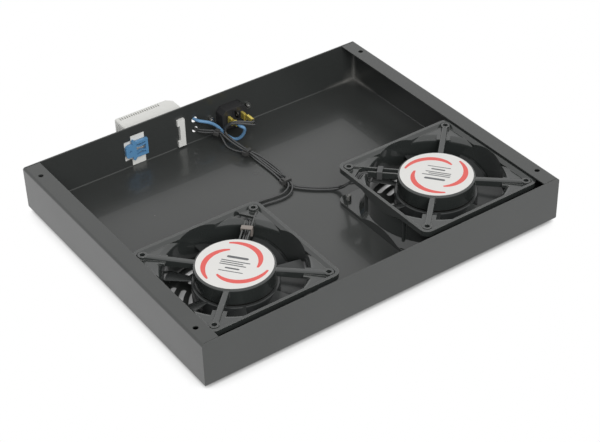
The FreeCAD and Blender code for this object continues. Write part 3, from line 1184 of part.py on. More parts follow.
def make_harness():
    """Leads from the thermostat and the inlet to the fans, and the ties that bundle them."""
    tube("blue_lead", BLUE_ROUTE, BLUE_DIAMETER)
    tube("left_fan_line_lead", LEFT_LINE_ROUTE, LEAD_DIAMETER)
    tube("left_fan_neutral_lead", LEFT_NEUTRAL_ROUTE, LEAD_DIAMETER)
    tube("right_fan_line_lead", RIGHT_LINE_ROUTE, LEAD_DIAMETER)
    tube("right_fan_neutral_lead", RIGHT_NEUTRAL_ROUTE, LEAD_DIAMETER)
    tie("cable_tie_wall", (9.9, 127.3, 11.4), (-0.62, 0.76, 0.19), (1, 2))
    tie("cable_tie_rear", (19.9, 92.0, 4.675), (-0.28, 0.96, 0.0), (2, 2))
    tie("cable_tie_front", (21.4, 33.5, 4.675), (0.0, 1.0, 0.0), (2, 2))


save("tray_body", tray_body())
make_fans()
make_inlet()
make_thermostat()
make_harness()

os.makedirs("parts", exist_ok=True)
for name, shape in PARTS.items():
    shape.exportStep("parts/" + name + ".step")
print(len(PARTS), "nodes,", sum(len(s.Solids) for s in PARTS.values()), "solids")
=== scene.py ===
import math

import bmesh
import bpy
from mathutils import Matrix, Vector


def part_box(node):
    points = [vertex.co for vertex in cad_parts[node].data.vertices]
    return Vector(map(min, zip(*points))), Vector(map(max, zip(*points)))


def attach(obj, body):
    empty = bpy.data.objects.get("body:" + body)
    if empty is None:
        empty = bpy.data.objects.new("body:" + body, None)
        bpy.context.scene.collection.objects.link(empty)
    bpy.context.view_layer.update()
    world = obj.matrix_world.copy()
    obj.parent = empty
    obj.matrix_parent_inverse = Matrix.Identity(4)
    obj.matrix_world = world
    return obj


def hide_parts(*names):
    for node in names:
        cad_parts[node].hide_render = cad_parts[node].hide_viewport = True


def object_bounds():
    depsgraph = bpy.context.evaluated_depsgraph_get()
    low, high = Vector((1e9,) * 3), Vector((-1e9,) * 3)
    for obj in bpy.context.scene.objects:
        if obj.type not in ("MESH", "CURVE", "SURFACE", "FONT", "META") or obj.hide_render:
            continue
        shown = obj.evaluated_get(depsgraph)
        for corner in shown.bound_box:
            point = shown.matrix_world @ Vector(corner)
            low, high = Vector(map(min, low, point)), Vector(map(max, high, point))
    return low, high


# Fan tray for a small server cabinet: powder-coated folded tray, two axial fans with labelled
# motors, mains inlet, clip-on thermostat and the tied wiring. Metres, in the part's own frame.

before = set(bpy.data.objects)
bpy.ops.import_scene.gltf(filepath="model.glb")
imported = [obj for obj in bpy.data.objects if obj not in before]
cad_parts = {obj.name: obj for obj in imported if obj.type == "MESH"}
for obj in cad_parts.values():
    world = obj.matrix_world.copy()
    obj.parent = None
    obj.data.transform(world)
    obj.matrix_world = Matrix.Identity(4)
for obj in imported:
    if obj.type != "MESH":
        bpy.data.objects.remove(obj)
cad_low, cad_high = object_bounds()
tray_low, tray_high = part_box("tray_body")

FIXED = "tray_and_fixed_pieces"
FANS = ("left_fan", "right_fan")
MM = 0.001
SHEET = 1.2 * MM           # the tray's sheet
WHITE = (1, 1, 1, 1)


def tone(red, green, blue):
    """Screen colour, 0 to 255, as the linear colour that a shader takes."""
    parts = [c / 255 for c in (red, green, blue)]
    return tuple(c / 12.92 if c <= 0.04045 else ((c + 0.055) / 1.055) ** 2.4 for c in parts) + (1,)


def place(x, y, height):
    """Point given in millimetres, its height counted from the tray's underside."""
    return Vector((x * MM, y * MM, tray_low.z + height * MM))


# ---- Shader nodes -----------------------------------------------------------------------
def math_node(tree, operation, first, second=None, third=None):
    node = tree.nodes.new("ShaderNodeMath")
    node.operation = operation
    for socket, value in zip(node.inputs, (first, second, third)):
        if value is None:
            continue
        if isinstance(value, (int, float)):
            socket.default_value = value
        else:
            tree.links.new(value, socket)
    return node.outputs[0]


def clamp(tree, value, most):
    """Value held between nought and the given most."""
    return math_node(tree, "MINIMUM", math_node(tree, "MAXIMUM", value, 0), most)


def fade(tree, distance, reach):
    """1 at no distance, falling to nought at the reach."""
    return math_node(tree, "MAXIMUM", math_node(tree, "MULTIPLY_ADD", distance, -1 / reach, 1), 0)


def noise_node(tree, scale, detail=3.0):
    """Noise over the piece's own coordinates, from 0 to 1."""
    noise = tree.nodes.new("ShaderNodeTexNoise")
    noise.inputs["Detail"].default_value = detail
    tree.links.new(tree.nodes.new("ShaderNodeTexCoord").outputs["Object"], noise.inputs["Vector"])
    if isinstance(scale, (int, float)):
        noise.inputs["Scale"].default_value = scale
    else:
        tree.links.new(scale, noise.inputs["Scale"])
    return noise.outputs["Fac"]


def parts_of(tree, vector):
    """X, Y and Z of a vector, by name."""
    split = tree.nodes.new("ShaderNodeSeparateXYZ")
    tree.links.new(vector, split.inputs[0])
    return split.outputs


def own_place(tree):
    return parts_of(tree, tree.nodes.new("ShaderNodeTexCoord").outputs["Object"])


def facing(tree):
    return parts_of(tree, tree.nodes.new("ShaderNodeNewGeometry").outputs["Normal"])


def blend_tones(tree, mask, under, over):
    mix = tree.nodes.new("ShaderNodeMix")
    mix.data_type = "RGBA"
    tree.links.new(mask, mix.inputs["Factor"])
    tree.links.new(under, mix.inputs["A"])
    mix.inputs["B"].default_value = over
    return mix.outputs["Result"]


def mix_shaders(tree, share, first, second):
    mix = tree.nodes.new("ShaderNodeMixShader")
    tree.links.new(share, mix.inputs["Fac"])
    tree.links.new(first, mix.inputs[1])
    tree.links.new(second, mix.inputs[2])
    return mix.outputs[0]


def any_ray(tree, *kinds):
    """1 for a ray of any of the given kinds, else nought."""
    ray = tree.nodes.new("ShaderNodeLightPath")
    seen = ray.outputs[f"Is {kinds[0]} Ray"]
    for kind in kinds[1:]:
        seen = math_node(tree, "MAXIMUM", seen, ray.outputs[f"Is {kind} Ray"])
    return seen


def background(tree, strength):
    node = tree.nodes.new("ShaderNodeBackground")
    node.inputs["Color"].default_value = WHITE
    node.inputs["Strength"].default_value = strength
    return node.outputs[0]


# ---- Camera and light -------------------------------------------------------------------
CAMERA_SPOT = Vector((-0.5972, -0.8956, 0.7511))
CAMERA_TARGET = Vector((-0.01439, -0.03705, -0.0215))
CAMERA_LENS, CAMERA_SENSOR = 94.05, 36
CAMERA_ROLL = math.radians(-1.69)
CENTRE = (0, 0, 0)
WORLD_FILL = 0.4
FLOOR_HALF = 4
FLOOR_GAP = 0.2 * MM
FLOOR_TONE = (0.55, 0.55, 0.55, 1)
SHADOW_REACH = 30 * MM


def set_camera():
    data = bpy.data.cameras.new("camera")
    data.lens, data.sensor_width = CAMERA_LENS, CAMERA_SENSOR
    data.clip_start, data.clip_end = 0.05, 20
    camera = bpy.data.objects.new("camera", data)
    bpy.context.collection.objects.link(camera)
    turn = (CAMERA_TARGET - CAMERA_SPOT).to_track_quat("-Z", "Y").to_matrix()
    turn = turn @ Matrix.Rotation(CAMERA_ROLL, 3, "Z")
    camera.matrix_world = Matrix.Translation(CAMERA_SPOT) @ turn.to_4x4()
    bpy.context.scene.camera = camera


def soft_lamp(name, spot, target, size, power):
    data = bpy.data.lights.new(name, "AREA")
    data.shape, data.size, data.energy = "DISK", size, power
    lamp = bpy.data.objects.new(name, data)
    bpy.context.collection.objects.link(lamp)
    turn = (Vector(target) - Vector(spot)).to_track_quat("-Z", "Y").to_matrix().to_4x4()
    lamp.matrix_world = Matrix.Translation(spot) @ turn
    lamp.visible_glossy = False


def seen_as_white(tree, plain):
    """Mixes a plain surface with white for what the camera, gloss and glass see.

    The white darkens close to the object, which keeps its contact shadow.
    """
    near = tree.nodes.new("ShaderNodeAmbientOcclusion")
    near.samples = 16
    near.inputs["Distance"].default_value = SHADOW_REACH
    shadow = tree.nodes.new("ShaderNodeMapRange")
    shadow.inputs["From Min"].default_value = 0.1
    shadow.inputs["From Max"].default_value = 0.62
    shadow.inputs["To Min"].default_value = 0.18
    tree.links.new(near.outputs["AO"], shadow.inputs["Value"])
    white = tree.nodes.new("ShaderNodeEmission")
    white.inputs["Color"].default_value = WHITE
    tree.links.new(shadow.outputs["Result"], white.inputs["Strength"])
    seen = any_ray(tree, "Camera", "Glossy", "Transmission")
    return mix_shaders(tree, seen, plain, white.outputs[0])


def set_world():
    """Soft white fill, and full white for what the camera and gloss see."""
    world = bpy.data.worlds.new("studio")
    world.use_nodes = True
    tree = world.node_tree
    tree.nodes.clear()
    out = tree.nodes.new("ShaderNodeOutputWorld")
    shown = mix_shaders(tree, any_ray(tree, "Camera", "Glossy"), background(tree, WORLD_FILL),
                        background(tree, 1))
    tree.links.new(shown, out.inputs["Surface"])
    bpy.context.scene.world = world


def set_floor():
    mesh = bpy.data.meshes.new("floor")
    floor = bpy.data.objects.new("floor", mesh)
    half, low = FLOOR_HALF, cad_low[2] - FLOOR_GAP
    mesh.from_pydata([(-half, -half, low), (half, -half, low), (half, half, low),
                      (-half, half, low)], [], [(0, 1, 2, 3)])
    bpy.context.collection.objects.link(floor)
    material = bpy.data.materials.new("pale_floor")
    material.use_nodes = True
    tree = material.node_tree
    tree.nodes.clear()
    matt = tree.nodes.new("ShaderNodeBsdfDiffuse")
    matt.inputs["Color"].default_value = FLOOR_TONE
    out = tree.nodes.new("ShaderNodeOutputMaterial")
    tree.links.new(seen_as_white(tree, matt.outputs[0]), out.inputs["Surface"])
    mesh.materials.append(material)


def set_studio():
    set_world()
    soft_lamp("key", (-0.5, -1.5, 1.3), CENTRE, 1.5, 36)
    soft_lamp("rear_fill", (0.9, 1.3, 0.9), CENTRE, 0.7, 5)
    bpy.context.scene.view_settings.view_transform = "Standard"
    set_floor()


# ---- Effects that several finishes share -------------------------------------------------
def effect_group(name, inputs, outputs):
    tree = bpy.data.node_groups.new(name, "ShaderNodeTree")
    for label, kind, value in inputs:
        tree.interface.new_socket(label, in_out="INPUT", socket_type=kind).default_value = value
    for label, kind in outputs:
        tree.interface.new_socket(label, in_out="OUTPUT", socket_type=kind)
    return tree, tree.nodes.new("NodeGroupInput"), tree.nodes.new("NodeGroupOutput")


def make_mottle():
    """Colour that drifts in patches and changes from grain to grain, with the grain's height."""
    tree, given, made = effect_group(
        "mottle",
        [("Tone", "NodeSocketColor", (0.5, 0.5, 0.5, 1)), ("Patch scale", "NodeSocketFloat", 20),
         ("Patch change", "NodeSocketFloat", 0.1), ("Grain scale", "NodeSocketFloat", 3000),
         ("Grain change", "NodeSocketFloat", 0.1), ("Roughness", "NodeSocketFloat", 0.5),
         ("Roughness change", "NodeSocketFloat", 0.1)],
        [("Tone", "NodeSocketColor"), ("Height", "NodeSocketFloat"),
         ("Roughness", "NodeSocketFloat")])
    patch = noise_node(tree, given.outputs["Patch scale"])
    grain = noise_node(tree, given.outputs["Grain scale"], 2)
    drift = math_node(tree, "MULTIPLY", math_node(tree, "SUBTRACT", patch, 0.5),
                      given.outputs["Patch change"])
    spot = math_node(tree, "MULTIPLY", math_node(tree, "SUBTRACT", grain, 0.5),
                     given.outputs["Grain change"])
    value = math_node(tree, "ADD", math_node(tree, "ADD", drift, spot), 1)
    shade = tree.nodes.new("ShaderNodeHueSaturation")
    tree.links.new(given.outputs["Tone"], shade.inputs["Color"])
    tree.links.new(value, shade.inputs["Value"])
    rough = math_node(tree, "MULTIPLY_ADD", math_node(tree, "SUBTRACT", patch, 0.5),
                      given.outputs["Roughness change"], given.outputs["Roughness"])
    tree.links.new(shade.outputs[0], made.inputs["Tone"])
    tree.links.new(grain, made.inputs["Height"])
    tree.links.new(rough, made.inputs["Roughness"])
    return tree


def make_edge_wear_and_highlight():
    """Mask along outer edges, broken up by noise, for edges lightened partly as wear and partly as
    a painted highlight, and the normal of a slightly rounded edge.
    """
    tree, given, made = effect_group(
        "edge_wear_and_highlight",
        [("Amount", "NodeSocketFloat", 0.5), ("Break scale", "NodeSocketFloat", 300),
         ("Radius", "NodeSocketFloat", 0.4 * MM)],
        [("Mask", "NodeSocketFloat"), ("Normal", "NodeSocketVector")])
    bevel = tree.nodes.new("ShaderNodeBevel")
    bevel.samples = 4
    tree.links.new(given.outputs["Radius"], bevel.inputs["Radius"])
    flat = tree.nodes.new("ShaderNodeNewGeometry")
    dot = tree.nodes.new("ShaderNodeVectorMath")
    dot.operation = "DOT_PRODUCT"
    tree.links.new(bevel.outputs[0], dot.inputs[0])
    tree.links.new(flat.outputs["Normal"], dot.inputs[1])
    bend = math_node(tree, "SUBTRACT", 1, dot.outputs["Value"])
    broken = math_node(tree, "MULTIPLY", bend, noise_node(tree, given.outputs["Break scale"]))
    mask = math_node(tree, "MULTIPLY", broken, given.outputs["Amount"])
    tree.links.new(clamp(tree, mask, 1), made.inputs["Mask"])
    tree.links.new(bevel.outputs[0], made.inputs["Normal"])
    return tree


def make_settled_dust():
    """Mask of fine dust on what faces up."""
    tree, given, made = effect_group(
        "settled_dust",
        [("Amount", "NodeSocketFloat", 0.1), ("Patch scale", "NodeSocketFloat", 30)],
        [("Mask", "NodeSocketFloat")])
    up = math_node(tree, "MAXIMUM", facing(tree)["Z"], 0)
    patches = math_node(tree, "MULTIPLY", noise_node(tree, given.outputs["Patch scale"]),
                        noise_node(tree, 2500, 1))
    mask = math_node(tree, "MULTIPLY", math_node(tree, "MULTIPLY", up, patches),
                     given.outputs["Amount"])
    tree.links.new(mask, made.inputs["Mask"])
    return tree


def make_lint():
    """Mask of small scattered specks on what faces up."""
    tree, given, made = effect_group(
        "lint",
        [("Amount", "NodeSocketFloat", 0.5), ("Cell scale", "NodeSocketFloat", 60),
         ("Speck size", "NodeSocketFloat", 0.02)],
        [("Mask", "NodeSocketFloat")])
    cells = tree.nodes.new("ShaderNodeTexVoronoi")
    tree.links.new(tree.nodes.new("ShaderNodeTexCoord").outputs["Object"], cells.inputs["Vector"])
    tree.links.new(given.outputs["Cell scale"], cells.inputs["Scale"])
    chance = tree.nodes.new("ShaderNodeSeparateColor")
    tree.links.new(cells.outputs["Color"], chance.inputs[0])
    size = math_node(tree, "MULTIPLY", chance.outputs["Green"], given.outputs["Speck size"])
    speck = math_node(tree, "MULTIPLY",
                      math_node(tree, "LESS_THAN", cells.outputs["Distance"], size),
                      math_node(tree, "GREATER_THAN", chance.outputs["Red"], 0.45))
    up = math_node(tree, "GREATER_THAN", facing(tree)["Z"], 0.5)
    mask = math_node(tree, "MULTIPLY", math_node(tree, "MULTIPLY", speck, up),
                     given.outputs["Amount"])
    tree.links.new(mask, made.inputs["Mask"])
    return tree


MOTTLE = make_mottle()
LINT = make_lint()
EDGE_WEAR_AND_HIGHLIGHT = make_edge_wear_and_highlight()
SETTLED_DUST = make_settled_dust()


DUST_TONE = tone(150, 148, 142)
LINT_TONE = tone(190, 188, 182)
LINT_CELLS, LINT_SIZE = 75.0, 0.032
ROUGHNESS_CHANGE = 0.12
RELIEF_DEPTH = 0.3 * MM


def use_group(tree, group, **values):
    node = tree.nodes.new("ShaderNodeGroup")
    node.node_tree = group
    for label, value in values.items():
        node.inputs[label.replace("_", " ")].default_value = value
    return node


def finish(name, base, roughness, metallic=0.0, patch=(18, 0.2), grain=(2500, 0.15), bump=0.02,
           wear_and_highlight=None, radius=0.3 * MM, dust=0.0, lint=0.0, coat=0.0):
    """Surface finish: mottled colour, fine grain, rounded edges lightened for wear and for a
    painted highlight, dust and lint.

    Patch and grain are each a scale and an amount of change; the edge lightening, wear with a
    painted highlight, is an amount and a tone.
    """
    material = bpy.data.materials.new(name)
    material.use_nodes = True
    tree = material.node_tree
    surface = tree.nodes["Principled BSDF"]
    mottle = use_group(tree, MOTTLE, Tone=base, Patch_scale=patch[0], Patch_change=patch[1],
                       Grain_scale=grain[0], Grain_change=grain[1], Roughness=roughness,
                       Roughness_change=ROUGHNESS_CHANGE)
    # Edges lightened by this mask: partly wear, partly a painted highlight.
    edge = use_group(tree, EDGE_WEAR_AND_HIGHLIGHT, Amount=wear_and_highlight[0] if wear_and_highlight else 0.0, Radius=radius)
    colour = mottle.outputs["Tone"]
    if wear_and_highlight:
        colour = blend_tones(tree, edge.outputs["Mask"], colour, wear_and_highlight[1])
    if dust:
        settled = use_group(tree, SETTLED_DUST, Amount=dust)
        colour = blend_tones(tree, settled.outputs["Mask"], colour, DUST_TONE)
    if lint:
        specks = use_group(tree, LINT, Amount=lint, Cell_scale=LINT_CELLS, Speck_size=LINT_SIZE)
        colour = blend_tones(tree, specks.outputs["Mask"], colour, LINT_TONE)
    relief = tree.nodes.new("ShaderNodeBump")
    relief.inputs["Strength"].default_value = bump
    relief.inputs["Distance"].default_value = RELIEF_DEPTH
    tree.links.new(mottle.outputs["Height"], relief.inputs["Height"])
    tree.links.new(edge.outputs["Normal"], relief.inputs["Normal"])
    tree.links.new(colour, surface.inputs["Base Color"])
    tree.links.new(mottle.outputs["Roughness"], surface.inputs["Roughness"])
    tree.links.new(relief.outputs[0], surface.inputs["Normal"])
    surface.inputs["Metallic"].default_value = metallic
    surface.inputs["Coat Weight"].default_value = coat
    return material


def repaint(material, mask, over):
    """Lays one more tone over a finish where the mask says."""
    tree, surface = material.node_tree, material.node_tree.nodes["Principled BSDF"]
    under = surface.inputs["Base Color"].links[0].from_socket
    tree.links.new(blend_tones(tree, mask, under, over), surface.inputs["Base Color"])


# The tray's lighter edges are partly wear, partly a painted highlight.
POWDER_COAT = finish("powder_coat", tone(53, 55, 54), 0.3, grain=(1800, 0.3), bump=0.05,
                     wear_and_highlight=(1.2, tone(126, 126, 124)), radius=0.5 * MM, dust=0.05, lint=0.4,
                     coat=0.25)


def paint_corner_highlight(material):
    """Painted highlight: paler tone in the tray's inner corners, running out along the three seams
    that meet there.
    """
    tree = material.node_tree
    along_reach, seam_reach, patch_reach = 36 * MM, 3.6 * MM, 15 * MM
    past_wall, patch_share, most = -0.4 * MM, 0.45, 0.5
    where = own_place(tree)
    from_side = math_node(tree, "SUBTRACT", tray_high.x - SHEET,
                          math_node(tree, "ABSOLUTE", where["X"]))
    from_end = math_node(tree, "SUBTRACT", tray_high.y - SHEET,
                         math_node(tree, "ABSOLUTE", where["Y"]))
    from_floor = math_node(tree, "SUBTRACT", where["Z"], tray_low.z + SHEET)

    def reach(first, second):
        squares = math_node(tree, "MULTIPLY_ADD", first, first,
                            math_node(tree, "MULTIPLY", second, second))
        return math_node(tree, "SQRT", squares)

    seams = [reach(from_side, from_end), reach(from_end, from_floor), reach(from_side, from_floor)]
    nearest = math_node(tree, "MINIMUM", math_node(tree, "MINIMUM", seams[0], seams[1]), seams[2])
    corner = reach(seams[0], from_floor)
    inside = math_node(tree, "MULTIPLY", math_node(tree, "GREATER_THAN", from_side, past_wall),
                       math_node(tree, "GREATER_THAN", from_end, past_wall))
    patch = math_node(tree, "MULTIPLY", fade(tree, corner, patch_reach), patch_share)
    both = math_node(tree, "MULTIPLY_ADD", fade(tree, corner, along_reach),
                     fade(tree, nearest, seam_reach), patch)
    broken = math_node(tree, "MULTIPLY_ADD", noise_node(tree, 160), 0.8, 0.35)
    mask = math_node(tree, "MULTIPLY", math_node(tree, "MULTIPLY", both, inside), broken)
    # Painted highlight laid over the inner corners and their seams.
    repaint(material, math_node(tree, "MINIMUM", mask, most), tone(138, 137, 133))


# Painted highlight in the tray's inner corners.
paint_corner_highlight(POWDER_COAT)
# The fan frames' strongly lighter edges are partly wear, partly a painted highlight.
CAST_PAINT = finish("black_cast_paint", tone(45, 48, 47), 0.2, grain=(1500, 0.3), bump=0.05,
                    wear_and_highlight=(2.4, tone(170, 170, 166)), radius=0.6 * MM, dust=0.05, lint=0.3, coat=0.6)
IMPELLER_PLASTIC = finish("impeller_plastic", tone(52, 54, 54), 0.24, bump=0.02, dust=0.08)
ROTOR_PAINT = finish("rotor_paint", tone(40, 39, 37), 0.24, bump=0.03)
LABEL_PAPER = finish("label_paper", tone(226, 225, 222), 0.42, patch=(60, 0.05),
                     grain=(4000, 0.04), bump=0.01, radius=0.1 * MM)
LABEL_RED = finish("label_red", tone(224, 96, 90), 0.42, patch=(90, 0.08), grain=(4000, 0.06),
                   bump=0.01, radius=0.05 * MM)
SCALE_INK = finish("scale_ink", tone(70, 72, 76), 0.5, patch=(200, 0.15), grain=(4000, 0.1),
                   bump=0.01, radius=0.05 * MM)
LABEL_GREY = finish("label_grey", tone(96, 98, 100), 0.45, patch=(120, 0.2), grain=(4000, 0.1),
                    bump=0.01, radius=0.05 * MM)
STEEL = finish("bright_steel", tone(178, 178, 176), 0.3, metallic=1.0, patch=(200, 0.2),
               grain=(5000, 0.1), bump=0.03, wear_and_highlight=(0.8, tone(230, 230, 228)), radius=0.2 * MM)
WINDING = finish("varnished_winding", tone(96, 52, 30), 0.35, grain=(1400, 0.6), bump=0.4)
SCREW_ZINC = finish("dulled_zinc", tone(116, 116, 114), 0.28, metallic=0.9, patch=(300, 0.3),
                    grain=(5000, 0.15), bump=0.03, wear_and_highlight=(1.2, tone(190, 190, 186)), radius=0.1 * MM)
BLACKED_STEEL = finish("blacked_steel", tone(48, 48, 49), 0.38, metallic=0.6, patch=(300, 0.3),
                       wear_and_highlight=(1.5, tone(140, 140, 138)), radius=0.2 * MM)
BRASS = finish("brass", tone(226, 206, 104), 0.34, metallic=0.6, patch=(160, 0.25),
               grain=(3500, 0.15), bump=0.03, wear_and_highlight=(0.8, tone(240, 228, 170)), radius=0.15 * MM)
TINNED = finish("tinned_pin", tone(196, 192, 180), 0.28, metallic=1.0, patch=(160, 0.2),
                bump=0.02, radius=0.2 * MM)


def darken_tabs_inside(material):
    """Darkens the pins' tabs on the tray's side of the wall."""
    tree = material.node_tree
    starts, full_after, most = tray_high.y - 1.5 * SHEET, 2.5 * MM, 0.85
    behind = math_node(tree, "SUBTRACT", starts, own_place(tree)["Y"])
    depth = math_node(tree, "MULTIPLY", behind, 1 / full_after)
    repaint(material, clamp(tree, depth, most), tone(62, 60, 56))


# Darker tone on the pins' tabs on the tray's side of the wall.
darken_tabs_inside(TINNED)
BIMETAL = finish("bimetal", tone(180, 160, 120), 0.35, metallic=1.0, bump=0.03, radius=0.1 * MM)
INLET_PLASTIC = finish("inlet_plastic", tone(46, 46, 47), 0.36, grain=(2200, 0.3), bump=0.08)
PALE_PLASTIC = finish("pale_plastic", tone(226, 226, 222), 0.5, patch=(40, 0.05),
                      grain=(2600, 0.05), bump=0.05, dust=0.05)
BLUE_PLASTIC = finish("blue_plastic", tone(92, 142, 184), 0.38, patch=(80, 0.1),
                      grain=(2600, 0.06), bump=0.03, wear_and_highlight=(0.8, tone(170, 196, 222)),
                      radius=0.2 * MM)
DIAL_PLASTIC = finish("dial_plastic", tone(70, 71, 73), 0.45, patch=(60, 0.1), bump=0.05)
BLUE_SLEEVE = finish("blue_sleeve", tone(104, 146, 184), 0.2, patch=(60, 0.15), grain=(2500, 0.1),
                     bump=0.02, radius=0.1 * MM)
# Black insulation given a greyer base tone as a painted sheen on the leads.
BLACK_SLEEVE = finish("black_sleeve", tone(60, 61, 61), 0.2, patch=(60, 0.2), bump=0.02,
                      radius=0.1 * MM, coat=0.5)
TIE_NYLON = finish("tie_nylon", tone(66, 66, 65), 0.3, patch=(200, 0.15), bump=0.03,
                   radius=0.2 * MM)
LEFT_CLIP = finish("left_clip_plastic", tone(138, 130, 124), 0.45, patch=(300, 0.1), bump=0.04)
RIGHT_CLIP = finish("right_clip_plastic", tone(74, 75, 75), 0.45, patch=(300, 0.1), bump=0.04)


def dress_nodes():
    """Gives every solid of the frame its finish."""
    finishes = {"tray_body": POWDER_COAT, "inlet_body": INLET_PLASTIC, "inlet_pins": TINNED,
                "inlet_line_terminal": BRASS, "inlet_neutral_terminal": BRASS,
                "inlet_screws": STEEL, "inlet_nuts": STEEL, "thermostat_base": PALE_PLASTIC,
                "thermostat_latch": BLUE_PLASTIC, "thermostat_cover": PALE_PLASTIC,
                "thermostat_dial": DIAL_PLASTIC, "thermostat_bimetal": BIMETAL,
                "thermostat_clamps": BRASS, "thermostat_clamp_screws": STEEL,
                "cable_tie_wall": TIE_NYLON, "cable_tie_rear": TIE_NYLON,
                "cable_tie_front": TIE_NYLON}
    for fan in FANS:
        finishes.update({fan + "_frame": CAST_PAINT, fan + "_label": LABEL_PAPER,
                         fan + "_stator": WINDING, fan + "_bearings": STEEL,
                         fan + "_shaft": STEEL, fan + "_retaining_ring": BLACKED_STEEL,
                         fan + "_rotor": ROTOR_PAINT, fan + "_impeller": IMPELLER_PLASTIC,
                         fan + "_screws": SCREW_ZINC})
    finishes["left_fan_wire_clip"] = LEFT_CLIP
    finishes["right_fan_wire_clip"] = RIGHT_CLIP
    for node, material in finishes.items():
        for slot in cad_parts[node].material_slots:
            slot.material = material


# ---- Building pieces --------------------------------------------------------------------
def piece(name, verts, faces, material, slot):
    """Closed mesh with outward normals, fixed to the tray."""
    mesh = bpy.data.meshes.new(name)
    mesh.from_pydata([tuple(v) for v in verts], [], faces)
    mesh.materials.append(material)
    work = bmesh.new()
    work.from_mesh(mesh)
    bmesh.ops.recalc_face_normals(work, faces=work.faces)
    work.to_mesh(mesh)
    work.free()
    made = bpy.data.objects.new(name, mesh)
    bpy.context.collection.objects.link(made)
    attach(made, FIXED)


def slab(outlines, low, high):
    """Vertices and faces of thin flat slabs from outlines given in metres."""
    verts, faces = [], []
    for outline in outlines:
        first, count = len(verts), len(outline)
        verts += [Vector((x, y, low)) for x, y in outline]
        verts += [Vector((x, y, high)) for x, y in outline]
        faces.append([first + count + i for i in range(count)])
        faces.append([first + i for i in reversed(range(count))])
        faces += [[first + i, first + (i + 1) % count, first + count + (i + 1) % count,
                   first + count + i] for i in range(count)]
    return verts, faces


# ---- Motor labels -----------------------------------------------------------------------
PRINT_SINK, PRINT_RISE = 0.01 * MM, 0.03 * MM


def vane(start, sweep, inner, outer, thick):
    """Curved band that winds outwards from the inner to the outer radius and thins at its ends."""
    steps = 28
    near, far = [], []
    for i in range(steps + 1):
        share = i / steps
        angle = math.radians(start + sweep * share)
        middle = inner + (outer - inner) * share
        half = thick / 2 * math.sin(math.pi * (0.06 + 0.88 * share)) ** 0.6
        near.append(((middle - half) * math.cos(angle), (middle - half) * math.sin(angle)))
        far.append(((middle + half) * math.cos(angle), (middle + half) * math.sin(angle)))
    return far + near[::-1]


def bar(x0, x1, y, height):
    """Small bar with rounded ends."""
    radius, steps = height / 2, 6
    ends = []
    for x, first in ((x1 - radius, -90), (x0 + radius, 90)):
        for i in range(steps + 1):
            angle = math.radians(first + 180 * i / steps)
            ends.append((x + radius * math.cos(angle), y + radius * math.sin(angle)))
    return ends


def print_label(fan, turn):
    """Plain three-vane mark in red and blank grey data lines, thin slabs on the label."""
    low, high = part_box(fan + "_label")
    middle = (low + high) / 2

    def set_down(outlines):
        placed = []
        for outline in outlines:
            spun = []
            for x, y in outline:
                spun.append((middle.x + MM * (x * math.cos(turn) - y * math.sin(turn)),
                             middle.y + MM * (x * math.sin(turn) + y * math.cos(turn))))
            placed.append(spun)
        return slab(placed, high.z - PRINT_SINK, high.z + PRINT_RISE)

    vanes = [vane(start, 118, 18.6, 27.4, 4.6) for start in (0, 120, 240)]
    lines = [bar(-9, 9, 7.6, 2.6), bar(-12, 12, 2.6, 1.1), bar(-12, 7, 0.2, 1.1),
             bar(-12, 10, -2.2, 1.1), bar(-6, 6, -6.4, 1.7), bar(-10, 10, -10.2, 0.9)]
    piece(fan + "_label_mark", *set_down(vanes), LABEL_RED, "label")
    piece(fan + "_label_lines", *set_down(lines), LABEL_GREY, "label")


# ---- Screw threads ----------------------------------------------------------------------
THREAD_ROOT, THREAD_CREST = 0.1 * MM, 0.16 * MM       # below and above the plain shank
THREAD_SHARE = 0.42                                    # half of the ridge's foot, in pitches
THREAD_STEPS = 20                                      # round one turn
FAN_HOLE_OFFSET, FAN_SCREW_END = 52.5 * MM, 4.0 * MM
END_CHAMFER = 0.4 * MM
INLET_HEAD_RADIUS = 3 * MM


def thread(name, foot, axis, radius, length, pitch, material, slot):
    """Ridge that winds round a plain shank, starting at a point of its axis."""
    turn = Vector(axis).to_track_quat("Z", "Y").to_matrix()
    steps = int(length / pitch * THREAD_STEPS)
    profile = [(radius - THREAD_ROOT, -pitch * THREAD_SHARE), (radius + THREAD_CREST, 0),
               (radius - THREAD_ROOT, pitch * THREAD_SHARE)]
    verts, faces = [], []
    for i in range(steps + 1):
        angle = 2 * math.pi * i / THREAD_STEPS
        rise = length * i / steps
        for reach, offset in profile:
            spot = Vector((reach * math.cos(angle), reach * math.sin(angle), rise + offset))
            verts.append(Vector(foot) + turn @ spot)
        if i:
            a, b = 3 * (i - 1), 3 * i
            faces += [[a + k, a + (k + 1) % 3, b + (k + 1) % 3, b + k] for k in range(3)]
    last = 3 * steps
    faces += [[0, 1, 2], [last, last + 1, last + 2]]
    piece(name, verts, faces, material, slot)


def cut_threads():
    """Threads on the free ends of the fan screws and of the inlet's screws."""
    for fan in FANS:
        low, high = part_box(fan + "_screws")
        middle = (low + high) / 2
        for index, (x, y) in enumerate(((-1, -1), (1, -1), (1, 1), (-1, 1))):
            foot = (middle.x + x * FAN_HOLE_OFFSET, middle.y + y * FAN_HOLE_OFFSET,
                    high.z - FAN_SCREW_END - END_CHAMFER)
            thread(f"{fan}_thread_{index}", foot, (0, 0, 1), 2 * MM, FAN_SCREW_END,
                   0.7 * MM, SCREW_ZINC, "dark_screws")
    low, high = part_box("inlet_screws")
    nut_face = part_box("inlet_nuts")[0].y
    middle_z = (low.z + high.z) / 2
    for side, x in (("left", low.x + INLET_HEAD_RADIUS), ("right", high.x - INLET_HEAD_RADIUS)):
        thread("inlet_thread_" + side, (x, nut_face - 0.2 * MM, middle_z), (0, -1, 0),
               1.5 * MM, nut_face - low.y - 0.6 * MM, 0.5 * MM, STEEL, "steel")


